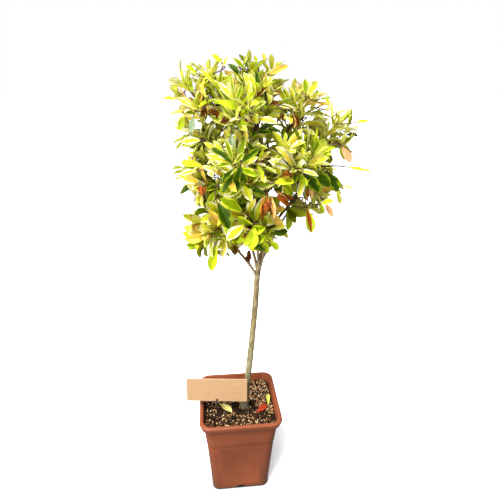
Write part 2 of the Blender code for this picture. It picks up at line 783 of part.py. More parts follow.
def make_foliage(mass, bough, limb_map, parts, finish, seed):
    rng = random.Random(seed)
    shoots = pick_shoots(mass, limb_map, rng)
    tip, along, _ = bough.at(1)
    limbs = grow_twigs(tip + along * STEM_COLLAR, along, shoots, len(shoots))
    limbs[0].line.insert(0, tip + along * GAP)
    limbs[0].radii.insert(0, BOUGH_TIP_RADIUS)
    stem, *twigs = [limb for limb in limbs if limb.name == "twig"]
    meshes = [tube_mesh("twig", stem.line, stem.radii, STEM_SIDES)]
    meshes += [tube_mesh("twig", twig.line, twig.radii, TWIG_SIDES) for twig in twigs]
    taken = [tube_tree(mesh) for mesh in meshes]
    meshes += [shoot_mesh(limb, mass, limb_map, taken, rng) for limb in limbs if limb.name == "shoot"]
    fuse("foliage_" + mass.name, meshes, parts, finish)


def make_dropped_leaf(name, spot, heading, length, width, parts, finish):
    """A leaf that lies on the mix, a little domed."""
    bm = bmesh.new()
    bmesh.ops.create_uvsphere(bm, u_segments=8, v_segments=4, radius=0.5)
    for vert in bm.verts:
        x, y, z = vert.co
        taper = 1 - 0.5 * (2 * x) ** 2
        vert.co = (x * length, y * width * taper, z * DROPPED_THICKNESS)
    lift = SOIL_TOP + GAP + DROPPED_THICKNESS / 2
    place = Matrix.Translation((*spot, lift)) @ Matrix.Rotation(math.radians(heading), 4, "Z")
    bmesh.ops.transform(bm, matrix=place, verts=bm.verts)
    shade_round(add_object(name, mesh_from(bm, name), parts, finish))


def main():
    clear_scene()
    parts = new_collection("potted photinia")
    cutters = new_collection("cutters")
    make_pot(parts, cutters)
    make_soil(parts, cutters)
    make_label(parts)

    bark = material("bark", (0.30, 0.24, 0.14), 0.85)
    trunk = trunk_limb()
    make_trunk(trunk, parts, bark)
    limbs = {"trunk": trunk}
    masses = {name: Mass(name, *row[:2]) for name, row in MASSES.items()}
    for mass in masses.values():
        mass.meet(masses.values())
    for name, (_, _, parent, share, radius, _) in MASSES.items():
        bough = grow_bough(masses[name], limbs[parent], share, radius)
        near = [limbs[other] for other in dict.fromkeys((parent, LEADER)) if share < 1]
        make_bough(bough, near, parts, cutters, bark)
        limbs[bough.name] = bough

    limb_map = LimbMap(limbs.values())
    leafage = material("variegated leaf", (0.35, 0.42, 0.08), 0.55)
    for name, mass in masses.items():
        make_foliage(mass, limbs["bough_" + name], limb_map, parts, leafage, MASSES[name][-1])

    dry = material("dropped leaf", (0.55, 0.40, 0.12), 0.7)
    for name, (spot, heading, length, width) in DROPPED.items():
        make_dropped_leaf(name, spot, heading, length, width, parts, dry)


if __name__ == "__main__":
    main()
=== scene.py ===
"""Potted standard photinia: the looks of the pot, stem, boughs, leaves, potting mix and label."""
import math
import random
from collections import defaultdict, namedtuple

import bpy
from mathutils import Matrix, Vector, noise
from mathutils.bvhtree import BVHTree
from mathutils.kdtree import KDTree


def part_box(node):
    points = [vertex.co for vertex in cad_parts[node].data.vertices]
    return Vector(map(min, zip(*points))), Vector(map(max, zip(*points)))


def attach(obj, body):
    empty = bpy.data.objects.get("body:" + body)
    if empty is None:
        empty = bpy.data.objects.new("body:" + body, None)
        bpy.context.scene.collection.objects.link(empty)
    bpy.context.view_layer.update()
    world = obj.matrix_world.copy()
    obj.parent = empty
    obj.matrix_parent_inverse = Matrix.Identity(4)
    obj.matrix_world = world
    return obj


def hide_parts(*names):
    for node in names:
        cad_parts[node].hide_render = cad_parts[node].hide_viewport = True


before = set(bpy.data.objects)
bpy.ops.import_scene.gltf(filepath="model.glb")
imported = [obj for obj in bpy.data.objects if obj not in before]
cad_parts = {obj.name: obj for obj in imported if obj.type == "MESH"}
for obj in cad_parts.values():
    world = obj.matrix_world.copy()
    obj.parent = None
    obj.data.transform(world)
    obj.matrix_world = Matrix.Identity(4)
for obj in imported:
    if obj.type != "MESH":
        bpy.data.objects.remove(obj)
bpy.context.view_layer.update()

bl_info = {
    "name": "Potted photinia",
    "version": (1, 1, 0),
    "blender": (4, 5, 0),
    "location": "View3D > Sidebar > Photinia",
    "description": "Builds the pot, stem, boughs, leaves, potting mix and label of a potted standard photinia",
    "category": "Object",
}

BODY = "root"

# Pot, measured across its flats
POT_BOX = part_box("pot")
POT_HEIGHT = POT_BOX[1][2]
RIM_WIDTH = POT_BOX[1][0] - POT_BOX[0][0]
RIM_INNER_WIDTH = 0.229
RIM_ROLL = 0.006
RIM_ROLL_WIDTH = 0.010
RIM_STEPS = 6
LIP_FOOT_WIDTH = 0.237
LIP_HEIGHT = 0.025
BAND_TOP_WIDTH = 0.2255
BAND_FOOT_WIDTH = 0.2140
BAND_FOOT_HEIGHT = 0.203
BODY_TOP_WIDTH = 0.2105
STEP_HEIGHT = 0.008
STEP_WIDTH = 0.0016
# Half height of the painted shade lines under the band, the step and the lip
GROOVE_SHADE_WIDTH = 0.0016
BASE_WIDTH = 0.181
BASE_CHAMFER = 0.006
POT_WALL = 0.003
POT_FLOOR = 0.016
CORNER_SHARE = 0.125
CORNER_STEPS = 9
PANEL_INSET = 0.013
PANEL_SLOPE = 0.0030
PANEL_DEPTH = 0.0010
NOTCH_WIDTH = 0.038
NOTCH_HEIGHT = 0.013
NOTCH_DEPTH = 0.015
DRAIN_RADIUS = 0.008
DRAIN_CIRCLE = 0.048

# Potting mix
SOIL_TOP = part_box("soil")[1][2]
SOIL_SINK = 0.0022
SOIL_CELLS = 100
SOIL_SWELL = 0.0016
SOIL_CRUMB = 0.0014
STEM_FOOT = Vector((0.018, -0.012, SOIL_TOP))
STEM_FOOT_RADIUS = 0.017

# Clear stem, as its solid is drawn
TRUNK_FOOT_RADIUS = 0.0100
TRUNK_TIP_RADIUS = 0.0078
TRUNK_FLARE = 0.0050
TRUNK_FLARE_HEIGHT = 0.013
TRUNK_BURIED = 0.010
TRUNK_BENDS = ((0.0172, -0.0123, SOIL_TOP - TRUNK_BURIED), (0.0192, -0.0124, 0.290), (0.0345, -0.0142, 0.464),
               (0.0476, -0.0156, 0.650), (0.0508, -0.0160, 0.729), (0.0590, -0.0170, 0.776))
TRUNK_STEPS = 3
TRUNK_RINGS = 220
TRUNK_SIDES = 28
BOUGH_SIDES = 14

# Head. Each mass: its centre, its reach along X, Y and Z, the limb that its bough leaves, how far along
# that limb, the bough's radius there, and its twigs' seed. The first one grows straight on from the stem.
MASSES = {
    "crown_top": ((0.039, 0.000, 1.220), (0.088, 0.085, 0.082), "trunk", 1.00, TRUNK_TIP_RADIUS, 416),
    "low_left": ((-0.070, -0.035, 0.886), (0.083, 0.092, 0.096), "trunk", 0.780, 0.0045, 439),
    "low_back": ((0.008, 0.095, 0.898), (0.105, 0.092, 0.093), "trunk", 0.825, 0.0045, 426),
    "low_front": ((0.027, -0.105, 0.920), (0.090, 0.090, 0.085), "trunk", 0.870, 0.0042, 439),
    "low_right": ((0.153, 0.035, 0.925), (0.088, 0.098, 0.080), "trunk", 0.915, 0.0044, 405),
    "mid_left": ((-0.084, -0.020, 1.010), (0.084, 0.100, 0.085), "bough_crown_top", 0.12, 0.0042, 439),
    "mid_right": ((0.200, 0.000, 0.998), (0.082, 0.098, 0.088), "bough_crown_top", 0.19, 0.0044, 430),
    "mid_front": ((-0.005, -0.118, 1.057), (0.100, 0.095, 0.092), "bough_crown_top", 0.26, 0.0042, 400),
    "back_left": ((-0.045, 0.112, 1.013), (0.098, 0.092, 0.097), "bough_crown_top", 0.33, 0.0042, 427),
    "mid_back": ((0.080, 0.135, 1.032), (0.100, 0.090, 0.099), "bough_crown_top", 0.39, 0.0042, 435),
    "mid_near": ((0.123, -0.115, 1.058), (0.098, 0.092, 0.092), "bough_crown_top", 0.45, 0.0042, 435),
    "back_right": ((0.190, 0.108, 1.057), (0.090, 0.088, 0.092), "bough_crown_top", 0.50, 0.0040, 426),
    "upper_left": ((-0.086, 0.030, 1.108), (0.087, 0.095, 0.084), "bough_crown_top", 0.55, 0.0040, 437),
    "right_tip": ((0.240, 0.010, 1.102), (0.074, 0.085, 0.090), "bough_mid_right", 0.55, 0.0036, 419),
    "top_right": ((0.150, -0.010, 1.166), (0.089, 0.095, 0.083), "bough_crown_top", 0.61, 0.0038, 438),
    "top_left": ((-0.086, -0.010, 1.203), (0.101, 0.095, 0.088), "bough_crown_top", 0.68, 0.0038, 410),
    "top_front": ((0.010, -0.095, 1.178), (0.100, 0.092, 0.092), "bough_crown_top", 0.75, 0.0036, 433),
    "top_back": ((0.038, 0.100, 1.169), (0.110, 0.092, 0.094), "bough_crown_top", 0.82, 0.0036, 430),
}
CROWN_CENTRE = Vector((0.055, 0.0, 1.02))
CROWN_REACH = Vector((0.24, 0.20, 0.27))
BOUGH_TIP_RADIUS = 0.0030
BOUGH_POINTS = 6
BOUGH_RISE = 0.45
BOUGH_TRACE = 40
BOUGH_ENTRY = 0.014
BOUGH_DEPTH = 0.75
BEND_PULL = 0.36

# Shoots, by the solids' rule and then carried on to finer ones
SHOOTS_PER_MASS = 5
FINE_SHOOTS = 7
SHOOT_TRIES = 900
SHOOT_SPACING = 0.056
FINE_SPACING = 0.042
SPACING_EASE = 0.3
SHOOT_DEPTH = (0.20, 0.62)
FINE_DEPTH = (0.15, 0.60)
SHOOT_MARGIN = 0.018
FINE_MARGIN = 0.006
FINE_SHELL = 0.62
SHOOT_AWAY = 0.7
SHOOT_OUT = 0.5
SHOOT_LIFT = 0.45
FORK_SHARE = 0.42
FORK_TAPER = 0.85
FORK_CARRY = 0.7
TWIG_RADIUS = 0.0011
TWIG_SIDES = 6
STALK_RADIUS = 0.0014
STEM_SINK = 0.002

# Leaves: the pairs of lengths and of widths, as shares of length, hold for the two heights
LEAVES_PER_SHOOT = 14
LEAF_STEP = 0.0032
LEAF_TURN = math.radians(137.5)
YOUNG_TILT = math.radians(14)
LEAF_TILT = (math.radians(95), math.radians(76))
TILT_SPREAD = 0.30
TURN_SPREAD = 0.5
LEAF_SAG = (0.65, 0.05)
LEAF_LENGTH = (0.086, 0.076)
LEAF_YOUNG_SHARE = 0.62
LEAF_AGEING = 1.8
LEAF_SPREAD = (0.70, 1.12)
LEAF_WIDTH = (0.40, 0.25)
LEAF_HEIGHTS = (0.89, 1.08)
WIDTH_SPREAD = (0.75, 1.15)
LEAF_FULLNESS = (0.60, 0.65)
LEAF_PEAK = (1.55, 1.75)
LEAF_TRIES = 7
LEAF_SHRINK = 0.15
LEAF_ROWS = 9
LEAF_THICKNESS = 0.0006
LEAF_STALK = 0.012
WALL_SLACK = 0.014
TIP_SLACK = 0.003
LIMB_GAP = 0.0015
GAP = 0.0003
LEAF_CREASE = math.radians(30)

# Masses that let the sky through, with their share of the fine shoots
OPEN_MASSES = {"low_right": 0.0, "mid_right": 0.4, "right_tip": 0.6, "low_back": 0.4, "back_right": 0.5}

# Leaves that stand out at the front of the head: kind, root, tip, and width as a share of length
FEATURES = (
    ("ember", (-0.092, -0.129, 0.985), (-0.094, -0.129, 1.018), 0.55),
    ("ember", (0.049, -0.179, 1.001), (0.047, -0.189, 0.933), 0.50),
    ("tan", (0.067, -0.179, 1.003), (0.104, -0.189, 0.974), 0.45),
    ("rust", (0.111, -0.173, 1.037), (0.058, -0.183, 1.041), 0.45),
    ("pink", (0.187, -0.138, 0.973), (0.212, -0.148, 0.934), 0.30),
    ("striped", (0.141, -0.161, 0.970), (0.160, -0.161, 0.898), 0.31),
    ("tan", (0.142, -0.164, 1.006), (0.154, -0.164, 0.973), 0.50),
    ("pink", (0.234, -0.084, 1.095), (0.262, -0.094, 1.053), 0.42),
    ("brown", (0.026, -0.052, 0.785), (0.012, -0.052, 0.820), 0.60),
    ("olive", (-0.029, -0.120, 0.865), (-0.009, -0.120, 0.830), 0.62),
    ("brown", (-0.083, -0.078, 1.177), (-0.086, -0.078, 1.147), 0.48),
    ("brown", (-0.063, -0.100, 1.174), (-0.059, -0.100, 1.147), 0.60),
    ("brown", (-0.038, -0.127, 1.160), (-0.041, -0.127, 1.136), 0.75),
    ("rust", (0.016, -0.145, 1.160), (0.001, -0.145, 1.139), 0.62),
    ("rust", (0.078, -0.129, 1.188), (0.052, -0.129, 1.182), 0.48),
    ("brown", (0.081, -0.141, 1.168), (0.080, -0.141, 1.144), 0.52),
    ("rust", (0.108, -0.137, 1.166), (0.118, -0.137, 1.133), 0.45),
    ("bright", (0.144, -0.099, 1.196), (0.166, -0.099, 1.234), 0.42),
    ("green", (0.141, -0.099, 1.199), (0.137, -0.099, 1.236), 0.40),
    ("cream", (-0.060, -0.149, 1.060), (-0.026, -0.159, 1.040), 0.62),
    ("silver", (-0.029, -0.145, 1.129), (-0.027, -0.145, 1.089), 0.43),
    ("silver", (-0.108, -0.054, 1.161), (-0.117, -0.054, 1.117), 0.36),
    ("lime", (-0.062, -0.100, 0.867), (-0.080, -0.100, 0.780), 0.28),
    ("deep", (-0.009, -0.168, 1.069), (-0.018, -0.168, 1.004), 0.39),
    ("deep", (-0.064, -0.148, 0.982), (-0.033, -0.158, 0.913), 0.44),
    ("deep", (0.002, -0.005, 1.262), (0.035, -0.005, 1.226), 0.38),
    ("mid", (0.002, -0.167, 0.951), (-0.054, -0.177, 0.991), 0.42),
    ("bright", (0.008, -0.162, 0.928), (-0.043, -0.172, 0.892), 0.43),
    ("lime", (0.023, -0.165, 0.931), (0.013, -0.180, 0.869), 0.46),
    ("lime", (0.042, -0.150, 0.887), (0.060, -0.150, 0.846), 0.37),
    ("lime", (0.057, -0.149, 0.883), (0.085, -0.149, 0.855), 0.42),
    ("lime", (0.053, -0.180, 1.023), (0.108, -0.185, 1.028), 0.38),
    ("deep", (0.125, -0.169, 1.049), (0.169, -0.169, 1.000), 0.43),
    ("deep", (0.150, -0.161, 1.046), (0.196, -0.161, 1.010), 0.45),
    ("deep", (0.190, -0.139, 1.043), (0.223, -0.139, 0.994), 0.48),
    ("bright", (0.256, -0.090, 1.143), (0.298, -0.090, 1.149), 0.22),
    ("cream", (0.229, -0.131, 1.050), (0.303, -0.134, 1.040), 0.20),
    ("bright", (-0.141, -0.007, 1.189), (-0.183, -0.007, 1.195), 0.30),
    ("bright", (-0.098, -0.126, 1.043), (-0.142, -0.126, 1.035), 0.34),
    ("lime", (-0.087, -0.038, 0.832), (-0.140, -0.038, 0.822), 0.25),
    ("bright", (0.174, -0.144, 0.963), (0.208, -0.154, 0.977), 0.42),
    ("mid", (0.231, -0.082, 1.094), (0.247, -0.092, 1.059), 0.32),
    ("lime", (-0.037, -0.026, 1.265), (-0.063, -0.026, 1.288), 0.34),
    ("green", (0.014, -0.062, 1.251), (-0.017, -0.062, 1.278), 0.30),
    ("golden", (0.061, -0.007, 1.272), (0.056, -0.009, 1.294), 0.45),
    ("peach", (0.055, -0.067, 1.241), (0.104, -0.075, 1.264), 0.27),
    ("lime", (-0.095, -0.040, 1.242), (-0.123, -0.040, 1.263), 0.30),
    ("bright", (-0.140, -0.004, 1.203), (-0.161, -0.005, 1.227), 0.38),
    ("green", (0.172, -0.080, 1.192), (0.202, -0.086, 1.199), 0.22),
    ("golden", (0.225, -0.055, 1.159), (0.252, -0.061, 1.173), 0.42),
    ("lime", (-0.084, -0.091, 1.047), (-0.144, -0.088, 1.054), 0.28),
    ("cream", (-0.120, -0.037, 1.004), (-0.171, -0.034, 1.010), 0.22),
    ("bright", (-0.087, -0.071, 1.103), (-0.140, -0.068, 1.100), 0.36),
    ("cream", (0.242, -0.087, 0.999), (0.279, -0.095, 0.987), 0.24),
    ("lime", (-0.128, -0.016, 1.167), (-0.147, -0.017, 1.119), 0.30),
    ("golden", (-0.078, -0.082, 1.190), (-0.094, -0.083, 1.222), 0.30),
    ("green", (-0.016, -0.119, 1.150), (-0.027, -0.121, 1.195), 0.33),
    ("bright", (-0.042, -0.046, 1.257), (-0.029, -0.050, 1.280), 0.34),
    ("lime", (0.041, -0.035, 1.264), (0.031, -0.037, 1.286), 0.34),
    ("bright", (0.006, -0.041, 1.263), (0.014, -0.045, 1.285), 0.30),
    ("bright", (0.209, -0.064, 1.175), (0.197, -0.065, 1.201), 0.30),
    ("golden", (0.188, -0.071, 1.171), (0.216, -0.077, 1.178), 0.30),
    ("lime", (0.180, -0.121, 0.969), (0.196, -0.125, 0.935), 0.34),
    ("bright", (0.233, -0.086, 0.992), (0.248, -0.091, 0.948), 0.30),
    ("lime", (0.046, -0.085, 0.862), (0.060, -0.089, 0.826), 0.34),
    ("bright", (0.085, -0.120, 0.905), (0.112, -0.126, 0.876), 0.36),
)
FEATURE_DROOP = 0.06
PETIOLE_SHARE = 0.2
# Lines of sight kept free of leaves, where the photo shows sky through the head and then just outside it:
# a place on each and its radius there
WINDOWS = (
    ((0.226, -0.106, 1.056), 0.0153),
    ((-0.102, -0.069, 1.134), 0.0095),
    ((0.147, -0.097, 1.154), 0.0062),
    ((-0.002, -0.080, 1.260), 0.0065),
    ((-0.124, -0.067, 1.204), 0.0067),
    ((0.078, -0.089, 1.196), 0.0067),
    ((0.148, -0.097, 1.175), 0.0044),
    ((-0.061, -0.074, 1.015), 0.0062),
    ((0.174, -0.100, 1.193), 0.0032),
    ((0.210, -0.104, 1.079), 0.0058),
    ((0.034, -0.084, 1.135), 0.0055),
    ((-0.050, -0.075, 1.249), 0.0044),
    ((-0.074, -0.072, 1.149), 0.0050),
    ((-0.150, -0.003, 1.245), 0.0105),
    ((-0.146, -0.004, 1.180), 0.0084),
    ((-0.153, -0.003, 1.110), 0.0110),
    ((-0.143, -0.004, 1.067), 0.0124),
    ((-0.152, -0.003, 0.987), 0.0128),
    ((-0.138, -0.005, 0.953), 0.0130),
    ((-0.149, -0.003, 0.886), 0.0106),
    ((0.162, -0.038, 0.892), 0.0132),
    ((0.259, -0.049, 1.010), 0.0089),
    ((0.275, -0.051, 1.094), 0.0086),
)
# A forked twig that shows at the head's right, and where its stalks end
FORK = Vector((0.181, -0.144, 1.053))
FORK_RADIUS = 0.0024
FORK_ENDS = (Vector((0.234, -0.084, 1.095)), Vector((0.229, -0.131, 1.050)))

# Camera, fitted to the pot's edges
CAMERA_PLACE = Vector((-0.0842, -1.0330, 1.199))
CAMERA_PITCH = math.radians(21.04)
CAMERA_YAW = math.radians(-6.37)
CAMERA_ROLL = math.radians(0.67)
CAMERA_FOCAL_SHARE = 0.8
SENSOR_WIDTH = 36.0

# Light: the sky's strength, and the soft sun's strength, spread and place seen from the plant
SKY_LIGHT = 0.40
SKY_SEEN = 1.0
SUN_LIGHT = 7.0
SUN_SPREAD = math.radians(32)
SUN_PLACE = Vector((-0.45, -0.45, 1.2))
SOFTBOX_LIGHT = 25.0
SOFTBOX_SIZE = 0.9
SOFTBOX_PLACE = Vector((-0.9, -1.3, 0.85))
FLOOR_SIZE = 400
FLOOR_GLOW = 0.46
# How far past the pot's foot the floor's painted contact shadow reaches, from and to, and its glow over that stretch
CONTACT_SHADE = (-0.001, 0.12)
CONTACT_STOPS = ((0.0, 0.01), (0.02, 0.30), (0.06, 0.80), (0.35, 0.93), (1.0, 1.0))

Shoot = namedtuple("Shoot", "tip axis")


# Shader maths


class Value:
    """A socket that takes part in plain arithmetic by adding Math nodes."""

    def __init__(self, shader, socket):
        self.shader = shader
        self.socket = socket

    def _math(self, operation, first, second):
        return self.shader.math(operation, first, second)

    def __add__(self, other):
        return self._math("ADD", self, other)

    def __radd__(self, other):
        return self._math("ADD", other, self)

    def __sub__(self, other):
        return self._math("SUBTRACT", self, other)

    def __rsub__(self, other):
        return self._math("SUBTRACT", other, self)

    def __mul__(self, other):
        return self._math("MULTIPLY", self, other)

    def __rmul__(self, other):
        return self._math("MULTIPLY", other, self)


class Made:
    """A node that has been added, whose outputs are read by name or number."""

    def __init__(self, shader, node):
        self.shader = shader
        self.node = node

    def out(self, key):
        return Value(self.shader, self.node.outputs[key])


class Shader:
    """One material's nodes."""

    def __init__(self, name):
        self.material = bpy.data.materials.new(name)
        self.material.use_nodes = True
        self.nodes = self.material.node_tree.nodes
        self.links = self.material.node_tree.links
        self.surface = Made(self, self.nodes["Principled BSDF"])

    def fill(self, node, sockets):
        for key, value in sockets.items():
            if isinstance(value, Value):
                self.links.new(value.socket, node.inputs[key])
            else:
                node.inputs[key].default_value = value

    def node(self, kind, settings, sockets):
        made = self.nodes.new(kind)
        for key, value in settings.items():
            if key == "stops":
                ramp = made.color_ramp.elements
                while len(ramp) < len(value):
                    ramp.new(0.5)
                for stop, (place, tone) in zip(ramp, value):
                    stop.position = place
                    stop.color = (*tone, 1.0)
            else:
                setattr(made, key, value)
        self.fill(made, sockets)
        return Made(self, made)

    def math(self, operation, *values):
        return self.node("ShaderNodeMath", {"operation": operation}, dict(enumerate(values))).out(0)

    def place(self, scale=(1, 1, 1)):
        coordinates = self.node("ShaderNodeTexCoord", {}, {}).out("Object")
        return self.node("ShaderNodeMapping", {}, {"Vector": coordinates, "Scale": scale}).out("Vector")

    def split(self, vector, axis):
        return self.node("ShaderNodeSeparateXYZ", {}, {"Vector": vector}).out(axis)

    def noise(self, scale, detail=3.0, stretch=(1, 1, 1)):
        return self.node("ShaderNodeTexNoise", {}, {"Vector": self.place(stretch), "Scale": scale,
                                                    "Detail": detail}).out("Fac")

    def range(self, value, low, high):
        """0 at low and 1 at high."""
        return self.node("ShaderNodeMapRange", {}, {"Value": value, "From Min": low, "From Max": high}).out(0)

    def ramp(self, value, stops):
        return self.node("ShaderNodeValToRGB", {"stops": stops}, {"Fac": value}).out("Color")

    def mix(self, share, first, second):
        made = self.nodes.new("ShaderNodeMix")
        made.data_type = "RGBA"
        self.fill(made, {0: share})
        for index, value in ((6, first), (7, second)):
            self.fill(made, {index: value if isinstance(value, Value) else (*value, 1.0)})
        return Value(self, made.outputs[2])

    def bump(self, height, strength, distance):
        return self.node("ShaderNodeBump", {}, {"Height": height, "Strength": strength,
                                                "Distance": distance}).out("Normal")

    def set(self, **sockets):
        self.fill(self.surface.node, {key.replace("_", " "): value for key, value in sockets.items()})
        return self.material


def colour(red, green, blue):
    """A colour given as the eye reads it, 0 to 255, made linear."""
    def linear(value):
        share = value / 255
        return share / 12.92 if share <= 0.04045 else ((share + 0.055) / 1.055) ** 2.4
    return linear(red), linear(green), linear(blue)


def plastic_material():
    shader = Shader("terracotta plastic")
    cloudy = shader.noise(9, 4)
    fine = shader.noise(420, 2)
    scuffs = shader.noise(60, 6, (1, 1, 0.25))
    tone = shader.ramp(cloudy, [(0.3, colour(112, 58, 34)), (0.7, colour(125, 66, 40))])
    tone = shader.mix(scuffs * 0.15, tone, colour(186, 108, 70))
    height = shader.split(shader.place(), "Z")
    # Painted shade: the plastic's colour darkens in thin lines just under the band's foot, under the step below it and
    # under the lip, where their undercuts cast shadow
    for groove in (BAND_FOOT_HEIGHT - 0.001, BAND_FOOT_HEIGHT - STEP_HEIGHT - 0.001, POT_HEIGHT - LIP_HEIGHT - 0.002):
        near = shader.math("COMPARE", height, groove, GROOVE_SHADE_WIDTH)
        tone = shader.mix(near * 0.55, tone, colour(60, 28, 16))
    return shader.set(Base_Color=tone, Roughness=0.34 + cloudy * 0.15, Specular_IOR_Level=0.2,
                      Normal=shader.bump(fine + scuffs * 0.6, 0.12, 0.0006))


def bark_material():
    """Dark at the foot, grey-green and then olive up the stem, pale tan at the fork and brown above."""
    shader = Shader("bark")
    climb = shader.range(shader.split(shader.place(), "Z"), SOIL_TOP, 1.02)
    mottle = shader.noise(130, 6, (1, 1, 0.4))
    stripe = shader.noise(260, 4, (1, 1, 0.08))
    tone = shader.ramp(climb, [(0.0, colour(26, 24, 14)), (0.035, colour(48, 46, 30)), (0.10, colour(94, 92, 66)),
                               (0.22, colour(126, 120, 82)),
                               (0.45, colour(142, 122, 66)), (0.62, colour(184, 160, 112)),
                               (0.70, colour(156, 126, 82)), (0.86, colour(84, 58, 38))])
    patches = shader.ramp(mottle, [(0.47, (0, 0, 0)), (0.60, (1, 1, 1))])
    tone = shader.mix(patches * 0.85, tone, colour(62, 50, 26))
    tone = shader.mix(stripe * 0.30, tone, colour(206, 192, 152))
    return shader.set(Base_Color=tone, Roughness=0.78, Normal=shader.bump(stripe + mottle, 0.5, 0.0008))


def twig_material():
    shader = Shader("young twig")
    mottle = shader.noise(120, 3)
    tone = shader.ramp(mottle, [(0.35, colour(56, 24, 16)), (0.65, colour(92, 54, 32))])
    return shader.set(Base_Color=tone, Roughness=0.6, Normal=shader.bump(mottle, 0.3, 0.0004))


def leaf_material(name, tone, roughness=0.40):
    """A plain tint with faint mottling and the gloss of a leathery leaf."""
    shader = Shader(name)
    grain = shader.noise(600, 2)
    mottle = shader.noise(110, 3)
    tint = shader.mix(mottle * 0.35, tone, tuple(part * 0.72 for part in tone))
    return shader.set(Base_Color=tint, Roughness=roughness + grain * 0.12, Specular_IOR_Level=0.1,
                      Subsurface_Weight=0.3, Subsurface_Radius=(1.0, 1.0, 0.3), Subsurface_Scale=0.002,
                      Normal=shader.bump(grain, 0.15, 0.0003))


def soil_material():
    shader = Shader("potting mix")
    crumbs = shader.noise(380, 6)
    tone = shader.ramp(crumbs, [(0.35, colour(14, 8, 4)), (0.6, colour(48, 28, 14)), (0.75, colour(104, 70, 40))])
    return shader.set(Base_Color=tone, Roughness=0.95, Specular_IOR_Level=0.1, Normal=shader.bump(crumbs, 0.9, 0.003))


def board_material():
    shader = Shader("pale board")
    grain = shader.noise(6, 5, (6, 6, 90))
    flecks = shader.noise(500, 3, (0.08, 1, 1))
    tone = shader.ramp(grain, [(0.3, colour(154, 120, 84)), (0.5, colour(176, 142, 104)), (0.7, colour(164, 130, 94))])
    tone = shader.mix(flecks * 0.22, tone, colour(150, 104, 60))
    return shader.set(Base_Color=tone, Roughness=0.62, Normal=shader.bump(grain + flecks, 0.2, 0.0004))


def floor_material(tone):
    """A pale floor that glows a little, with a painted contact shadow that darkens its colour and its glow close to the
    pot's foot.
    """
    shader = Shader("pale floor")
    corner = BASE_WIDTH * CORNER_SHARE
    x, y = (shader.math("MAXIMUM", shader.math("ABSOLUTE", shader.split(shader.place(), axis))
                        - (BASE_WIDTH / 2 - corner), 0.0) for axis in "XY")
    near, clear = (corner + reach for reach in CONTACT_SHADE)
    shade = shader.ramp(shader.range(shader.math("SQRT", x * x + y * y), near, clear),
                        [(place, (light, light, light)) for place, light in CONTACT_STOPS])
    return shader.set(Base_Color=shader.mix(1.0 - tone, shade, (0.0, 0.0, 0.0)), Roughness=0.9,
                      Emission_Color=shade, Emission_Strength=FLOOR_GLOW)


def plain_material(name, tone, roughness):
    shader = Shader(name)
    grain = shader.noise(300, 3)
    shaded = shader.mix(grain * 0.5, tone, tuple(part * 0.6 for part in tone))
    return shader.set(Base_Color=shaded, Roughness=roughness, Specular_IOR_Level=0.15,
                      Normal=shader.bump(grain, 0.3, 0.0006))


# Meshes and objects


def deselect():
    if bpy.context.mode != "OBJECT":
        bpy.ops.object.mode_set(mode="OBJECT")
    bpy.ops.object.select_all(action="DESELECT")


def activate(piece):
    deselect()
    piece.select_set(True)
    bpy.context.view_layer.objects.active = piece


def new_piece(name, verts, faces, materials, indices=None, crease=None):
    """A joined mesh from arrays of places and faces, smooth below the crease angle or flat."""
    mesh = bpy.data.meshes.new(name)
    mesh.from_pydata(verts, [], faces)
    for material in materials:
        mesh.materials.append(material)
    if indices:
        mesh.polygons.foreach_set("material_index", indices)
    if crease:
        mesh.polygons.foreach_set("use_smooth", [True] * len(faces))
        mesh.set_sharp_from_angle(angle=crease)
    mesh.update()
    piece = bpy.data.objects.new(name, mesh)
    bpy.context.scene.collection.objects.link(piece)
    return piece


def settle(piece, slot, *nodes):
    """Rides the piece on the plant's body, and hides the parts that it stands for."""
    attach(piece, BODY)
    if nodes:
        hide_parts(*nodes)


def smooth_line(points, steps):
    """A line through the points with no corners, with so many steps to each stretch."""
    ends = [points[0] * 2 - points[1], *points, points[-1] * 2 - points[-2]]
    line = []
    for before, start, end, after in zip(ends, ends[1:], ends[2:], ends[3:]):
        for step in range(steps):
            t = step / steps
            line.append(0.5 * (2 * start + (end - before) * t
                               + (2 * before - 5 * start + 4 * end - after) * t ** 2
                               + (3 * start - before - 3 * end + after) * t ** 3))
    return line + [points[-1]]


def bent_line(start, heading, end, arrival, count):
    """A line that leaves start along heading and comes to end along arrival."""
    pull = (end - start).length * BEND_PULL
    out = start + heading.normalized() * pull
    back = end - arrival.normalized() * pull
    line = []
    for t in (i / (count - 1) for i in range(count)):
        waist = out.lerp(back, t)
        near = start.lerp(out, t).lerp(waist, t)
        far = waist.lerp(back.lerp(end, t), t)
        line.append(near.lerp(far, t))
    return line


class Limb:
    """A stem, bough or twig: a line of points, each with its radius."""

    def __init__(self, name, line, radii):
        self.name = name
        self.line = line
        self.radii = radii

    def at(self, share):
        """The place, direction and radius at a share of the limb's points."""
        position = share * (len(self.line) - 1)
        i = min(int(position), len(self.line) - 2)
        t = position - i
        place = self.line[i].lerp(self.line[i + 1], t)
        radius = self.radii[i] + (self.radii[i + 1] - self.radii[i]) * t
        return place, (self.line[i + 1] - self.line[i]).normalized(), radius


class LimbMap:
    """Says how far a point is from the bark of the nearest limb, and where that limb passes."""

    STEP = 0.002

    def __init__(self, limbs):
        self.beads = []
        for limb in limbs:
            for i, (start, end) in enumerate(zip(limb.line, limb.line[1:])):
                count = max(1, round((end - start).length / self.STEP))
                for t in (n / count for n in range(count + 1)):
                    radius = limb.radii[i] + (limb.radii[i + 1] - limb.radii[i]) * t
                    self.beads.append((start.lerp(end, t), radius))
        self.tree = KDTree(len(self.beads))
        for i, (place, _) in enumerate(self.beads):
            self.tree.insert(place, i)
        self.tree.balance()

    def gap(self, point):
        _, i, distance = self.tree.find(point)
        return distance - self.beads[i][1]

    def nearest(self, point):
        return self.beads[self.tree.find(point)[1]][0]


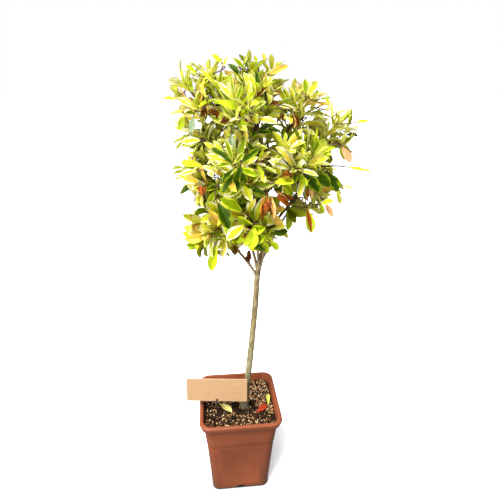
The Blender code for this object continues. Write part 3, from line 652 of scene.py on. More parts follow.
class Mass:
    """A mass of foliage: an ellipsoid that gives way to its neighbours along flat planes."""

    def __init__(self, name, centre, reach):
        self.name = name
        self.centre = Vector(centre)
        self.reach = Vector(reach)
        self.walls = []

    def reach_towards(self, direction):
        return math.sqrt(sum((r * d) ** 2 for r, d in zip(self.reach, direction)))

    def meet(self, others):
        for other in others:
            across = other.centre - self.centre
            direction = across.normalized()
            mine, theirs = self.reach_towards(direction), other.reach_towards(direction)
            if other is not self and across.length < mine + theirs:
                self.walls.append((direction, across.length * mine / (mine + theirs)))

    def depth(self, point):
        """0 at the centre of the ellipsoid and 1 on its surface."""
        offset = point - self.centre
        return math.sqrt(sum((o / r) ** 2 for o, r in zip(offset, self.reach)))

    def holds(self, point, margin, slack=0.0):
        offset = point - self.centre
        inside = sum((o / (r - margin)) ** 2 for o, r in zip(offset, self.reach)) <= 1
        return inside and all(offset.dot(direction) <= wall - margin + slack for direction, wall in self.walls)


def trunk_limb():
    line = smooth_line([Vector(bend) for bend in TRUNK_BENDS], TRUNK_STEPS)
    radii = []
    for place in line:
        height = place.z - SOIL_TOP
        share = height / (line[-1].z - SOIL_TOP)
        taper = TRUNK_FOOT_RADIUS + (TRUNK_TIP_RADIUS - TRUNK_FOOT_RADIUS) * share
        radii.append(taper + TRUNK_FLARE * math.exp(-max(height, 0) / TRUNK_FLARE_HEIGHT))
    return Limb("trunk", line, radii)


def grow_bough(mass, parent, share, radius):
    """One tapering limb from its parent's middle to just inside the mass that it carries."""
    start, along, _ = parent.at(share)
    outward = (mass.centre - start).normalized()
    if share == 1:
        start = start + along * GAP
        heading = along
    else:
        heading = outward + along * BOUGH_RISE
    line = bent_line(start, heading, mass.centre, outward, BOUGH_TRACE)
    entry = next(i for i, point in enumerate(line)
                 if mass.holds(point, BOUGH_ENTRY) and mass.depth(point) < BOUGH_DEPTH)
    shares = [i / (BOUGH_POINTS - 1) for i in range(BOUGH_POINTS)]
    picked = [line[round(t * entry)] for t in shares]
    if share == 1:
        picked[1] = start + along * (picked[1] - start).length
    return Limb("bough_" + mass.name, picked, [radius + (BOUGH_TIP_RADIUS - radius) * t for t in shares])


def grow_limbs():
    """The stem and boughs by name, and the masses by name."""
    limbs = {"trunk": trunk_limb()}
    masses = {name: Mass(name, *row[:2]) for name, row in MASSES.items()}
    for mass in masses.values():
        mass.meet(masses.values())
    for name, (_, _, parent, share, radius, _) in MASSES.items():
        bough = grow_bough(masses[name], limbs[parent], share, radius)
        limbs[bough.name] = bough
    return limbs, masses


def crown_depth(point):
    """0 at the middle of the head and 1 near its outside."""
    return math.sqrt(sum((o / r) ** 2 for o, r in zip(point - CROWN_CENTRE, CROWN_REACH)))


def pick_shoots(mass, limb_map, rng, shoots, count, spacing, depth, margin, shell=0.0):
    """Adds well spaced places in the mass's outer part, each with the way that its shoot points."""
    for tries in range(SHOOT_TRIES):
        spaced = spacing * (1 - SPACING_EASE * tries / SHOOT_TRIES)
        point = mass.centre + Vector(rng.uniform(-r, r) for r in mass.reach)
        if not depth[0] < mass.depth(point) < depth[1] or not mass.holds(point, margin):
            continue
        if crown_depth(point) < shell:
            continue
        apart = all((point - other.tip).length > spaced for other in shoots)
        if apart and limb_map.gap(point) > SHOOT_MARGIN:
            away = (point - CROWN_CENTRE).normalized() * SHOOT_AWAY
            out = (point - mass.centre).normalized() * SHOOT_OUT
            shoots.append(Shoot(point, (away + out + Vector((0, 0, SHOOT_LIFT))).normalized()))
        if len(shoots) == count:
            break


def middle(shoots):
    return sum((shoot.tip for shoot in shoots), Vector()) / len(shoots)


def split_group(shoots):
    """Two halves of a group, parted across its longest direction."""
    centre = middle(shoots)
    axis = max((shoot.tip - centre for shoot in shoots), key=lambda offset: offset.length)
    ordered = sorted(shoots, key=lambda shoot: shoot.tip.dot(axis))
    half = len(ordered) // 2
    return ordered[:half], ordered[half:]


def taper(start, end, count):
    return [start + (end - start) * i / (count - 1) for i in range(count)]


def grow_twigs(start, heading, shoots, total):
    """Twigs that fork in two until each ends at one shoot, thinner as they carry fewer."""
    thick = max(TWIG_RADIUS, BOUGH_TIP_RADIUS * math.sqrt(len(shoots) / total))
    if len(shoots) == 1:
        shoot = shoots[0]
        base = shoot.tip - shoot.axis * LEAF_STEP * LEAVES_PER_SHOOT
        line = bent_line(start, heading, base, shoot.axis, 6) + [shoot.tip]
        return [Limb("shoot", line, taper(thick, TWIG_RADIUS, len(line)))]
    fork = start.lerp(middle(shoots), FORK_SHARE)
    thin = max(TWIG_RADIUS, thick * FORK_TAPER)
    line = bent_line(start, heading, fork, fork - start, 5)
    twigs = [Limb("twig", line, taper(thick, thin, len(line)))]
    onward = (line[-1] - line[-2]).normalized()
    for group in split_group(shoots):
        aim = (middle(group) - fork).normalized()
        twigs += grow_twigs(fork - onward * thin, onward * FORK_CARRY + aim, group, total)
    return twigs


# Leaves


def lines_of_sight():
    """Each window's direction from the camera, and its radius at a distance of one metre."""
    return [((Vector(place) - CAMERA_PLACE).normalized(), radius / (Vector(place) - CAMERA_PLACE).length)
            for place, radius in WINDOWS]


SIGHTS = lines_of_sight()


def shows_sky(point):
    offset = point - CAMERA_PLACE
    return any(offset.cross(sight).length < share * offset.length for sight, share in SIGHTS)


def leaf_width(t, peak, fullness):
    """The blade's width at a share of its length: a thin stalk, then widest past the middle."""
    swell = max(0.0, (t - 0.08) / 0.92)
    return max(0.045, math.sin(math.pi * swell ** peak) ** fullness)


class LeafShape:
    """The rule for one leaf's blade, folded along its midrib and bent down to its tip."""

    def __init__(self, root, along, upper, length, width, rng, outline=(1.4, 0.8)):
        self.root = root
        self.outline = outline
        self.along = along
        self.upper = (upper - along * along.dot(upper)).normalized()
        self.across = self.upper.cross(along)
        self.length = length
        self.half = width / 2
        self.droop = rng.uniform(0.04, 0.30)
        self.fold = rng.uniform(0.25, 0.80)
        self.wave = rng.uniform(0.0003, 0.0018)
        self.twist = rng.uniform(-0.5, 0.5)

    def strands(self, rng):
        """The same leaf dead: split and rolled into a few narrow crumpled strands."""
        for share in (-0.7, -0.35, 0.0, 0.35, 0.7):
            along = (self.along + self.across * share * self.half / self.length).normalized()
            strand = LeafShape(self.root + self.across * share * self.half * 0.6, along,
                               self.upper + self.across * rng.uniform(-1.5, 1.5),
                               self.length * rng.uniform(0.55, 1.0), self.half * rng.uniform(0.7, 1.1), rng)
            strand.fold = rng.uniform(0.6, 1.5)
            strand.wave = self.length * rng.uniform(0.02, 0.05)
            strand.twist = rng.uniform(-2.2, 2.2)
            yield strand

    def point(self, t, share, lower=0.0):
        """A place on the blade: t from root to tip, share from -1 to 1 across."""
        side = share * self.half
        rise = abs(side) * self.fold + math.sin(t * 15 + share * 2) * self.wave * abs(share)
        drop = self.droop * self.length * t * t
        turn = self.twist * t
        forward = self.length * t * (1 - 0.12 * self.droop * t)
        up = rise + side * math.sin(turn) - drop - lower
        return self.root + self.along * forward + self.across * (side * math.cos(turn)) + self.upper * up

    def blade(self, stalk):
        """The flat blade beyond so much of the stalk, to test what it crosses."""
        corners = [self.point(stalk / self.length, 0), self.point(0.6, 0.7), self.point(0.93, 0),
                   self.point(0.6, -0.7)]
        return BVHTree.FromPolygons(corners, [(0, 1, 2), (0, 2, 3)])

    def fits(self, mass, limb_map, siblings, crowd):
        """True where it stays in its mass, clear of the limbs and of the leaves already there."""
        root, left, tip, right = (self.point(0, 0), self.point(0.6, 1), self.point(1, 0), self.point(0.6, -1))
        if not all(mass.holds(corner, -TIP_SLACK, WALL_SLACK) for corner in (left, tip, right)):
            return False
        round_edge = (root, left, tip, right, root, tip)
        samples = [start.lerp(end, t / 5) for start, end in zip(round_edge, round_edge[1:]) for t in range(6)]
        if not all(limb_map.gap(point) > LIMB_GAP for point in samples):
            return False
        blade = self.blade(LEAF_STALK)
        if any(blade.overlap(tree) for tree in siblings):
            return False
        if any(blade.overlap(tree) for tree in crowd.near(self.point(0.5, 0))):
            return False
        return not any(shows_sky(point) for point in samples)


class Crowd:
    """Finds the leaves near a place."""

    CELL = 0.09

    def __init__(self):
        self.cells = defaultdict(list)

    def cell(self, place):
        return tuple(math.floor(part / self.CELL) for part in place)

    def add(self, leaf):
        self.cells[self.cell(leaf.point(0.5, 0))].append(leaf.blade(LEAF_STALK))

    def near(self, place):
        x, y, z = self.cell(place)
        for i in (x - 1, x, x + 1):
            for j in (y - 1, y, y + 1):
                for k in (z - 1, z, z + 1):
                    yield from self.cells.get((i, j, k), ())


class LeafMesh:
    """Gathers many leaves into one mesh: upper faces in four strips, underside in two."""

    ACROSS = 6

    def __init__(self):
        self.verts = []
        self.faces = []
        self.indices = []

    def add(self, leaf, centre, margin, under, margin_share):
        """Adds a leaf whose centre, margin and underside take the materials in these slots."""
        first = len(self.verts)
        for t in (row / (LEAF_ROWS - 1) for row in range(LEAF_ROWS)):
            width = leaf_width(t, *leaf.outline)
            left, right = (max(0.15, 1 - margin_share * (0.4 + 1.1 * t) - 0.25 * noise.noise(leaf.root * 90 + side))
                           for side in (leaf.along * t * 4, leaf.along * (t * 4 + 9)))
            left, right = min(left, 0.96), min(right, 0.96)
            self.verts += [leaf.point(t, share * width) for share in (-1, -left, 0, right, 1)]
            self.verts.append(leaf.point(t, 0, LEAF_THICKNESS))
        for row in range(LEAF_ROWS - 1):
            a = first + row * self.ACROSS
            b = a + self.ACROSS
            self.faces += [(a + i, b + i, b + i + 1, a + i + 1) for i in range(4)]
            self.faces += [(a, a + 5, b + 5, b), (a + 5, a + 4, b + 4, b + 5)]
            edge = margin if row else centre
            self.indices += [edge, centre, centre, edge, under, under]
        last = first + (LEAF_ROWS - 1) * self.ACROSS
        self.faces.append(tuple(first + i for i in range(self.ACROSS)))
        self.faces.append(tuple(last + i for i in reversed(range(self.ACROSS))))
        self.indices += [centre, centre]


TINTS = {
    "bright centre": colour(208, 208, 44),
    "lime centre": colour(186, 204, 34),
    "golden centre": colour(236, 212, 66),
    "peach centre": colour(236, 190, 80),
    "mid green": colour(124, 144, 4),
    "deep green": colour(50, 76, 2),
    "cream margin": colour(248, 243, 190),
    "yellow margin": colour(226, 224, 122),
    "pale under": colour(206, 206, 84),
    "rust": colour(150, 72, 20),
    "ember": colour(212, 100, 44),
    "pink": colour(238, 176, 124),
    "tan": colour(222, 176, 100),
    "olive": colour(160, 132, 30),
    "brown": colour(74, 38, 10),
    "silver": colour(164, 186, 150),
    "pale": colour(246, 242, 196),
}
TINT_SLOTS = {name: i for i, name in enumerate(TINTS)}

# Each kind of leaf: centre, margin, underside, and the margin's share of the half width
KINDS = {
    "bright": ("bright centre", "cream margin", "pale under", 0.22),
    "lime": ("lime centre", "bright centre", "lime centre", 0.16),
    "golden": ("golden centre", "cream margin", "pale under", 0.30),
    "peach": ("peach centre", "golden centre", "tan", 0.30),
    "cream": ("bright centre", "pale", "cream margin", 0.45),
    "green": ("mid green", "yellow margin", "pale under", 0.25),
    "mid": ("mid green", "lime centre", "bright centre", 0.16),
    "deep": ("deep green", "mid green", "mid green", 0.12),
    "striped": ("rust", "lime centre", "tan", 0.55),
    "rust": ("rust", "rust", "brown", 0.26),
    "ember": ("ember", "ember", "rust", 0.26),
    "pink": ("pink", "ember", "tan", 0.18),
    "tan": ("tan", "pink", "tan", 0.26),
    "olive": ("olive", "olive", "brown", 0.26),
    "brown": ("brown", "rust", "brown", 0.20),
    "silver": ("silver", "silver", "silver", 0.26),
}
SPRAYS = {
    "bright": (("bright", 7), ("lime", 1), ("golden", 4), ("green", 5), ("cream", 2.5), ("mid", 1.5), ("deep", 1)),
    "golden": (("golden", 7), ("bright", 5), ("peach", 5), ("cream", 2.5), ("green", 3), ("mid", 1), ("tan", 0.3)),
    "lime": (("lime", 7), ("bright", 4), ("mid", 4), ("golden", 3), ("deep", 3), ("rust", 0.5)),
    "green": (("mid", 5), ("green", 6), ("bright", 4), ("lime", 3), ("golden", 2), ("deep", 4), ("rust", 0.3)),
    "deep": (("deep", 7), ("mid", 4), ("green", 2), ("rust", 0.4), ("brown", 0.5)),
}
# Kinds of spray with how often each comes: inside the head, and low, half way and high on it. Inside the head the dark
# green kinds come most, both for the darker older leaves there and as painted shade.
SPRAY_ZONES = {
    "inside": (("deep", 5), ("green", 3), ("lime", 1)),
    "low": (("lime", 6), ("green", 3), ("deep", 1.5), ("bright", 5.5), ("golden", 2)),
    "half way": (("bright", 6), ("lime", 3), ("green", 4), ("golden", 2), ("deep", 1)),
    "high": (("bright", 9), ("golden", 4), ("green", 2), ("lime", 1)),
}
# What a dead leaf's strands are like
WITHERED = {
    "rust": (("rust", 3), ("brown", 1), ("tan", 1)),
    "ember": (("ember", 3), ("rust", 3), ("tan", 1)),
    "tan": (("tan", 3), ("rust", 1), ("pink", 1)),
    "olive": (("olive", 3), ("brown", 1)),
    "brown": (("brown", 4), ("rust", 1)),
}
MARGIN_SPREAD = (0.6, 1.9)
INSIDE = 0.60
LOW_TOP = 0.95
HALF_WAY_TOP = 1.08


def deal(rng, table):
    names, weights = zip(*table)
    return rng.choices(names, weights)[0]


def spray_kind(place, rng):
    # Inside the head the sprays run dark: older leaves, and painted shade deep in the head
    if crown_depth(place) < INSIDE:
        zone = "inside"
    elif place.z < LOW_TOP:
        zone = "low"
    else:
        zone = "half way" if place.z < HALF_WAY_TOP else "high"
    return deal(rng, SPRAY_ZONES[zone])


def add_leaf(made, leaf, kind, rng):
    """Adds a leaf, or the strands of a dead one."""
    if kind in WITHERED:
        for strand in leaf.strands(rng):
            add_blade(made, strand, deal(rng, WITHERED[kind]), rng)
    else:
        add_blade(made, leaf, kind, rng)


def add_blade(made, leaf, kind, rng):
    centre, margin, under, share = KINDS[kind]
    share *= rng.uniform(*MARGIN_SPREAD)
    made.add(leaf, TINT_SLOTS[centre], TINT_SLOTS[margin], TINT_SLOTS[under], share)


def grow_leaves(shoot, mass, limb_map, crowd, made, rng, count):
    """A rosette: narrow upright young leaves at the tip, then wider and flatter ones round them."""
    tip = shoot.line[-1]
    axis = (tip - shoot.line[-2]).normalized()
    side = axis.orthogonal().normalized()
    turn = rng.uniform(0, math.tau)
    spray = SPRAYS[spray_kind(tip, rng)]
    climb = min(1, max(0, (tip.z - LEAF_HEIGHTS[0]) / (LEAF_HEIGHTS[1] - LEAF_HEIGHTS[0])))
    full_length, full_width, full_tilt, most_sag, *outline = (
        low + (high - low) * climb
        for low, high in (LEAF_LENGTH, LEAF_WIDTH, LEAF_TILT, LEAF_SAG, LEAF_PEAK, LEAF_FULLNESS))
    siblings = []
    for n in range(count):
        age = n / (count - 1)
        turn += LEAF_TURN
        grown = LEAF_YOUNG_SHARE + (1 - LEAF_YOUNG_SHARE) * min(1, age * LEAF_AGEING)
        length = full_length * grown * rng.uniform(*LEAF_SPREAD)
        width = length * full_width * rng.uniform(*WIDTH_SPREAD)
        kind = deal(rng, spray)
        for tries in range(LEAF_TRIES):
            tilt = YOUNG_TILT + (full_tilt - YOUNG_TILT) * age + rng.uniform(-TILT_SPREAD, TILT_SPREAD)
            aim = Matrix.Rotation(turn + rng.uniform(-TURN_SPREAD, TURN_SPREAD), 3, axis) @ side
            sag = Vector((0, 0, most_sag * age))
            along = (axis * math.cos(tilt) + aim * math.sin(tilt) - sag).normalized()
            shrink = 1 - LEAF_SHRINK * tries / LEAF_TRIES
            leaf = LeafShape(tip - axis * LEAF_STEP * n, along, axis, length * shrink, width * shrink, rng, outline)
            if leaf.fits(mass, limb_map, siblings, crowd):
                add_leaf(made, leaf, kind, rng)
                siblings.append(leaf.blade(LEAF_STALK))
                crowd.add(leaf)
                break


class TubeMesh:
    """Gathers many tapering tubes into one mesh."""

    def __init__(self):
        self.verts = []
        self.faces = []

    def add(self, line, radii, sides, relief=None):
        """Adds a closed tube. Relief gives the radius's factor at a place and a turn round the tube."""
        first = len(self.verts)
        side = (line[1] - line[0]).orthogonal().normalized()
        for i, (place, radius) in enumerate(zip(line, radii)):
            along = (line[min(i + 1, len(line) - 1)] - line[max(i - 1, 0)]).normalized()
            side = (side - along * side.dot(along)).normalized()
            over = along.cross(side)
            for turn in (math.tau * n / sides for n in range(sides)):
                out = side * math.cos(turn) + over * math.sin(turn)
                swell = relief(place + out * radius, turn) if relief else 1.0
                self.verts.append(place + out * radius * swell)
        for i in range(len(line) - 1):
            for n in range(sides):
                a, b = first + i * sides + n, first + i * sides + (n + 1) % sides
                self.faces.append((a, b, b + sides, a + sides))
        self.faces.append(tuple(first + n for n in reversed(range(sides))))
        last = first + (len(line) - 1) * sides
        self.faces.append(tuple(last + n for n in range(sides)))


# Pot and potting mix


def pot_levels():
    """The pot's section as heights and widths, from its underside up the outside, over the lip and down inside."""
    lip_foot = POT_HEIGHT - LIP_HEIGHT
    levels = [(0.0, BASE_WIDTH - 1.4 * BASE_CHAMFER), (BASE_CHAMFER * 0.3, BASE_WIDTH - 0.4 * BASE_CHAMFER),
              (BASE_CHAMFER, BASE_WIDTH + 0.001), (BAND_FOOT_HEIGHT - STEP_HEIGHT, BODY_TOP_WIDTH - STEP_WIDTH / 2),
              (BAND_FOOT_HEIGHT - STEP_HEIGHT + 0.0008, BODY_TOP_WIDTH + STEP_WIDTH / 2),
              (BAND_FOOT_HEIGHT - 0.001, BODY_TOP_WIDTH + STEP_WIDTH),
              (BAND_FOOT_HEIGHT, BODY_TOP_WIDTH), (BAND_FOOT_HEIGHT + 0.0012, BAND_FOOT_WIDTH - 0.0005),
              (BAND_FOOT_HEIGHT + 0.005, BAND_FOOT_WIDTH), (lip_foot, BAND_TOP_WIDTH),
              (lip_foot + 0.0004, LIP_FOOT_WIDTH - 0.002), (lip_foot + 0.0015, LIP_FOOT_WIDTH + 0.001),
              (lip_foot + 0.004, LIP_FOOT_WIDTH + 0.005)]
    for turn in (i / RIM_STEPS * math.pi / 2 for i in range(RIM_STEPS + 1)):
        levels.append((POT_HEIGHT - RIM_ROLL * (1 - math.sin(turn)),
                       RIM_WIDTH - RIM_ROLL_WIDTH * (1 - math.cos(turn))))
    return levels + [(POT_HEIGHT, RIM_INNER_WIDTH + 0.005), (POT_HEIGHT - 0.001, RIM_INNER_WIDTH + 0.001),
                     (POT_HEIGHT - 0.004, RIM_INNER_WIDTH - 0.002),
                     (BAND_FOOT_HEIGHT, BODY_TOP_WIDTH - 2 * POT_WALL), (POT_FLOOR, inner_width(POT_FLOOR))]


def inner_width(height):
    """The inside of the pot's plain body, which widens evenly upwards."""
    return BASE_WIDTH + (BODY_TOP_WIDTH - BASE_WIDTH) * height / BAND_FOOT_HEIGHT - 2 * POT_WALL


def loft_pot():
    """A plane with rounded corners, drawn up level by level in edit mode."""
    levels = pot_levels()
    deselect()
    bpy.ops.mesh.primitive_plane_add(size=levels[0][1], location=(0, 0, 0))
    pot = bpy.context.active_object
    pot.name = "pot_shell"
    bpy.ops.object.mode_set(mode="EDIT")
    bpy.ops.mesh.select_all(action="SELECT")
    bpy.ops.mesh.bevel(offset=levels[0][1] * CORNER_SHARE, segments=CORNER_STEPS, affect="VERTICES")
    bpy.ops.mesh.select_all(action="SELECT")
    for (low, before), (height, width) in zip(levels, levels[1:]):
        bpy.ops.mesh.extrude_region_move(TRANSFORM_OT_translate={"value": (0, 0, height - low)})
        scale = width / before
        bpy.ops.transform.resize(value=(scale, scale, 1), center_override=(0, 0, height))
    bpy.ops.mesh.select_all(action="SELECT")
    bpy.ops.mesh.normals_make_consistent(inside=False)
    bpy.ops.object.mode_set(mode="OBJECT")
    return pot


def sink_panels(pot):
    """A shallow sunken panel in each flat side of the body, below the band."""
    deselect()
    bpy.context.view_layer.objects.active = pot
    bpy.ops.object.mode_set(mode="EDIT")
    bpy.ops.mesh.select_all(action="DESELECT")
    bpy.ops.object.mode_set(mode="OBJECT")
    for face in pot.data.polygons:
        heights = [pot.data.vertices[i].co.z for i in face.vertices]
        outside = face.center.xy.length > BASE_WIDTH / 2 and face.normal.dot(face.center.xy.to_3d()) > 0
        face.select = (outside and face.area > BASE_WIDTH * BASE_WIDTH / 2
                       and max(heights) < BAND_FOOT_HEIGHT and min(heights) > 0)
    bpy.ops.object.mode_set(mode="EDIT")
    bpy.ops.mesh.inset(thickness=PANEL_INSET, use_individual=True)
    bpy.ops.mesh.inset(thickness=PANEL_SLOPE, depth=-PANEL_DEPTH, use_individual=True)
    bpy.ops.object.mode_set(mode="OBJECT")


def cut_cylinder(pot, radius, depth, place, rotation):
    bpy.ops.object.select_all(action="DESELECT")
    bpy.ops.mesh.primitive_cylinder_add(vertices=64, radius=radius, depth=depth, location=place, rotation=rotation)
    cutter = bpy.context.active_object
    cut = pot.modifiers.new("cut", "BOOLEAN")
    cut.object = cutter
    cut.operation = "DIFFERENCE"
    activate(pot)
    bpy.ops.object.modifier_apply(modifier=cut.name)
    bpy.data.objects.remove(cutter)


def rounded(x, y, half):
    """A point of a square that reaches from -1 to 1, moved into a rounded square of this half width."""
    ring = max(abs(x), abs(y))
    if not ring:
        return 0.0, 0.0
    corner = 2 * half * CORNER_SHARE
    edge_x, edge_y = x / ring * half, y / ring * half
    past_x, past_y = abs(edge_x) - (half - corner), abs(edge_y) - (half - corner)
    if past_x > 0 and past_y > 0:
        pull = corner / math.hypot(past_x, past_y)
        edge_x = math.copysign(half - corner + past_x * pull, x)
        edge_y = math.copysign(half - corner + past_y * pull, y)
    return edge_x * ring, edge_y * ring


def soil_height(x, y):
    """The lumpy surface, which sinks a little round the stem."""
    spot = Vector((x, y, 0))
    rough = noise.noise(spot * 60) * SOIL_SWELL + noise.noise(spot * 200) * SOIL_CRUMB
    dip = 0.002 * math.exp(-((spot.xy - STEM_FOOT.xy).length / 0.03) ** 2)
    return SOIL_TOP - SOIL_SINK + rough - dip


def fill_soil():
    """A block from the pot's floor to the mix's surface."""
    top_half = RIM_INNER_WIDTH / 2 - 0.0040
    band_half = BODY_TOP_WIDTH / 2 - POT_WALL - GAP
    foot_half = inner_width(POT_FLOOR) / 2 - GAP
    foot = POT_FLOOR + GAP
    deselect()
    bpy.ops.mesh.primitive_grid_add(x_subdivisions=SOIL_CELLS, y_subdivisions=SOIL_CELLS, size=2,
                                    location=(0, 0, 0))
    soil = bpy.context.active_object
    soil.name = "potting_mix"
    bpy.ops.object.mode_set(mode="EDIT")
    bpy.ops.mesh.select_all(action="SELECT")
    for _ in range(2):
        bpy.ops.mesh.extrude_region_move(TRANSFORM_OT_translate={"value": (0, 0, 1)})
    bpy.ops.mesh.select_all(action="INVERT")
    bpy.ops.object.mode_set(mode="OBJECT")
    for face in soil.data.polygons:
        face.select = max(soil.data.vertices[i].co.z for i in face.vertices) < 0.5
    bpy.ops.object.mode_set(mode="EDIT")
    bpy.ops.mesh.select_mode(type="FACE")
    bpy.ops.mesh.dissolve_faces()
    bpy.ops.mesh.select_all(action="SELECT")
    bpy.ops.mesh.normals_make_consistent(inside=False)
    bpy.ops.mesh.select_mode(type="VERT")
    bpy.ops.object.mode_set(mode="OBJECT")
    for vert in soil.data.vertices:
        level = round(vert.co.z)
        x, y = rounded(vert.co.x, vert.co.y, (foot_half, band_half, top_half)[level])
        vert.co = (x, y, (foot, BAND_FOOT_HEIGHT, soil_height(x, y))[level])
    soil.data.materials.append(soil_material())
    activate(soil)
    bpy.ops.object.shade_smooth_by_angle(angle=math.radians(60))
    settle(soil, "potting_mix", "soil")


CHIP_TONES = {
    "chip tan": colour(176, 132, 84),
    "chip brown": colour(88, 52, 26),
    "chip dark": colour(28, 17, 9),
    "chip pale": colour(236, 216, 180),
    "crumb": colour(14, 8, 4),
}
# How often each tone comes: near the stem's foot, with more dark chips and crumbs as painted shade; at the back right,
# with more pale chips as painted light where light falls; and elsewhere
CHIP_DEALS = {
    "foot": ((0, 1), (1, 2), (2, 8), (3, 0.2), (4, 12)),
    "light": ((0, 8), (1, 5), (2, 3), (3, 4), (4, 4)),
    "plain": ((0, 4), (1, 4), (2, 6), (3, 2), (4, 9)),
}


def scatter_chips(count):
    """Bark chips, fibres and crumbs, denser than they need be and sunk into the surface."""
    rng = random.Random(11)
    half = RIM_INNER_WIDTH / 2 - 0.009
    verts, faces, indices = [], [], []
    for _ in range(count):
        x, y = rounded(rng.uniform(-1, 1), rng.uniform(-1, 1), half)
        from_foot = math.hypot(x - STEM_FOOT.x, y - STEM_FOOT.y)
        if from_foot < STEM_FOOT_RADIUS:
            continue
        # Painted shade and light: darker chips round the front of the stem's foot, paler ones at the back right
        zone = "foot" if from_foot < 0.040 and y < 0.01 else "light" if x + y > 0.04 else "plain"
        tone = deal(rng, CHIP_DEALS[zone])
        fibre = tone < 3
        length = rng.uniform(0.003, 0.011) if fibre else rng.uniform(0.002, 0.0045)
        wide = length * (rng.uniform(0.15, 0.5) if fibre else rng.uniform(0.6, 1.0))
        tall = min(wide, rng.uniform(0.0008, 0.0024))
        place = (Matrix.Translation((x, y, soil_height(x, y) + tall * 0.35))
                 @ Matrix.Rotation(rng.uniform(0, math.tau), 4, "Z") @ Matrix.Rotation(rng.uniform(-0.5, 0.5), 4, "X")
                 @ Matrix.Rotation(rng.uniform(-0.4, 0.4), 4, "Y"))
        first = len(verts)
        for z in (-0.5, 0.5):
            for corner_x, corner_y in ((-0.5, -0.5), (0.5, -0.5), (0.5, 0.5), (-0.5, 0.5)):
                worn = rng.uniform(0.6, 1.0)
                verts.append(place @ Vector((corner_x * length * worn, corner_y * wide * worn, z * tall)))
        for face in ((3, 2, 1, 0), (4, 5, 6, 7), (0, 1, 5, 4), (1, 2, 6, 5), (2, 3, 7, 6), (3, 0, 4, 7)):
            faces.append(tuple(first + i for i in face))
            indices.append(tone)
    materials = [plain_material(name, tone, 0.85) for name, tone in CHIP_TONES.items()]
    settle(new_piece("bark_chips", verts, faces, materials, indices), "potting_mix")


# Settings that a user would change


class PhotiniaSettings(bpy.types.PropertyGroup):
    fine_shoots: bpy.props.IntProperty(name="Fine shoots", description="Extra shoots in each mass of foliage",
                                       default=FINE_SHOOTS, min=0, max=20)
    chip_count: bpy.props.IntProperty(name="Bark chips", description="Chips on top of the potting mix",
                                      default=3200, min=0, max=6000)
    floor_tone: bpy.props.FloatProperty(name="Floor tone", description="Brightness of the floor",
                                        default=0.9, min=0, max=1)


class PHOTINIA_OT_pot(bpy.types.Operator):
    """Moulds the square plastic pot, with its panels, notches and drain holes"""
    bl_idname = "photinia.pot"
    bl_label = "Pot"

    def execute(self, context):
        pot = loft_pot()
        sink_panels(pot)
        arch = (NOTCH_WIDTH ** 2 / 4 + NOTCH_HEIGHT ** 2) / (2 * NOTCH_HEIGHT)
        for turn in (side * math.pi / 2 for side in range(4)):
            place = (math.sin(turn) * BASE_WIDTH / 2, math.cos(turn) * BASE_WIDTH / 2, NOTCH_HEIGHT - arch)
            cut_cylinder(pot, arch, 2 * NOTCH_DEPTH, place, (math.pi / 2, 0, -turn))
            slant = turn + math.pi / 4
            hole = (math.cos(slant) * DRAIN_CIRCLE, math.sin(slant) * DRAIN_CIRCLE, 0)
            cut_cylinder(pot, DRAIN_RADIUS, 3 * POT_FLOOR, hole, (0, 0, 0))
        pot.data.materials.append(plastic_material())
        activate(pot)
        bpy.ops.object.shade_smooth_by_angle(angle=math.radians(32))
        settle(pot, "pot_plastic", "pot")
        return {"FINISHED"}


class PHOTINIA_OT_soil(bpy.types.Operator):
    """Fills the pot with lumpy potting mix and its chips"""
    bl_idname = "photinia.soil"
    bl_label = "Potting mix"

    def execute(self, context):
        fill_soil()
        scatter_chips(context.scene.photinia.chip_count)
        return {"FINISHED"}


def trunk_relief(place, turn):
    height = max(place.z - SOIL_TOP, 0)
    ridges = math.cos(5 * turn + 1.3) * 0.16 * math.exp(-height / 0.014)
    knots = noise.noise(Vector((place.x * 90, place.y * 90, place.z * 28))) * 0.07
    return 1 + ridges + knots + noise.noise(place * 320) * 0.03


class PHOTINIA_OT_limbs(bpy.types.Operator):
    """Dresses the stem and boughs in bark"""
    bl_idname = "photinia.limbs"
    bl_label = "Stem and boughs"

    def execute(self, context):
        limbs, _ = grow_limbs()
        bark = bark_material()
        stem = [limbs["trunk"].at(i / (TRUNK_RINGS - 1)) for i in range(TRUNK_RINGS)]
        stem = [(place, radius) for place, _, radius in stem if place.z > SOIL_TOP - 0.004]
        trunk = TubeMesh()
        trunk.add(*zip(*stem), TRUNK_SIDES, trunk_relief)
        settle(new_piece("trunk_bark", trunk.verts, trunk.faces, [bark], crease=math.radians(60)), "bark", "trunk")
        boughs = TubeMesh()
        names = [name for name in limbs if name != "trunk"]
        for name in names:
            line = smooth_line(limbs[name].line, 5)
            radii = [limbs[name].at(i / (len(line) - 1))[2] for i in range(len(line))]
            boughs.add(line, radii, BOUGH_SIDES, lambda place, turn: 1 + noise.noise(place * 180) * 0.08)
        piece = new_piece("bough_bark", boughs.verts, boughs.faces, [bark], crease=math.radians(60))
        settle(piece, "bark", *names)
        return {"FINISHED"}


def grow_features(twig_map, crowd, made, twigs):
    """The leaves that stand out, each on a fine stalk from the nearest twig and facing the camera."""
    rng = random.Random(5)
    start = twig_map.nearest(FORK)
    line = bent_line(start, FORK - start, FORK, FORK_ENDS[0] - FORK, 7)
    twigs.add(line, taper(BOUGH_TIP_RADIUS, FORK_RADIUS, len(line)), TWIG_SIDES)
    for kind, root, tip, width_share in FEATURES:
        root, tip = Vector(root), Vector(tip)
        span = tip - root
        facing = (CAMERA_PLACE - root).normalized() + Vector((0, 0, 0.6))
        leaf = LeafShape(root, span.normalized(), facing, span.length, span.length * width_share, rng)
        leaf.droop = FEATURE_DROOP
        crowd.add(leaf)
        add_leaf(made, leaf, kind, rng)
        start = FORK if root in FORK_ENDS else twig_map.nearest(root)
        line = bent_line(start, root - start, root, span, 7) + [root + span * PETIOLE_SHARE]
        twigs.add(line, taper(FORK_RADIUS if start == FORK else TWIG_RADIUS, STALK_RADIUS, len(line)), TWIG_SIDES)


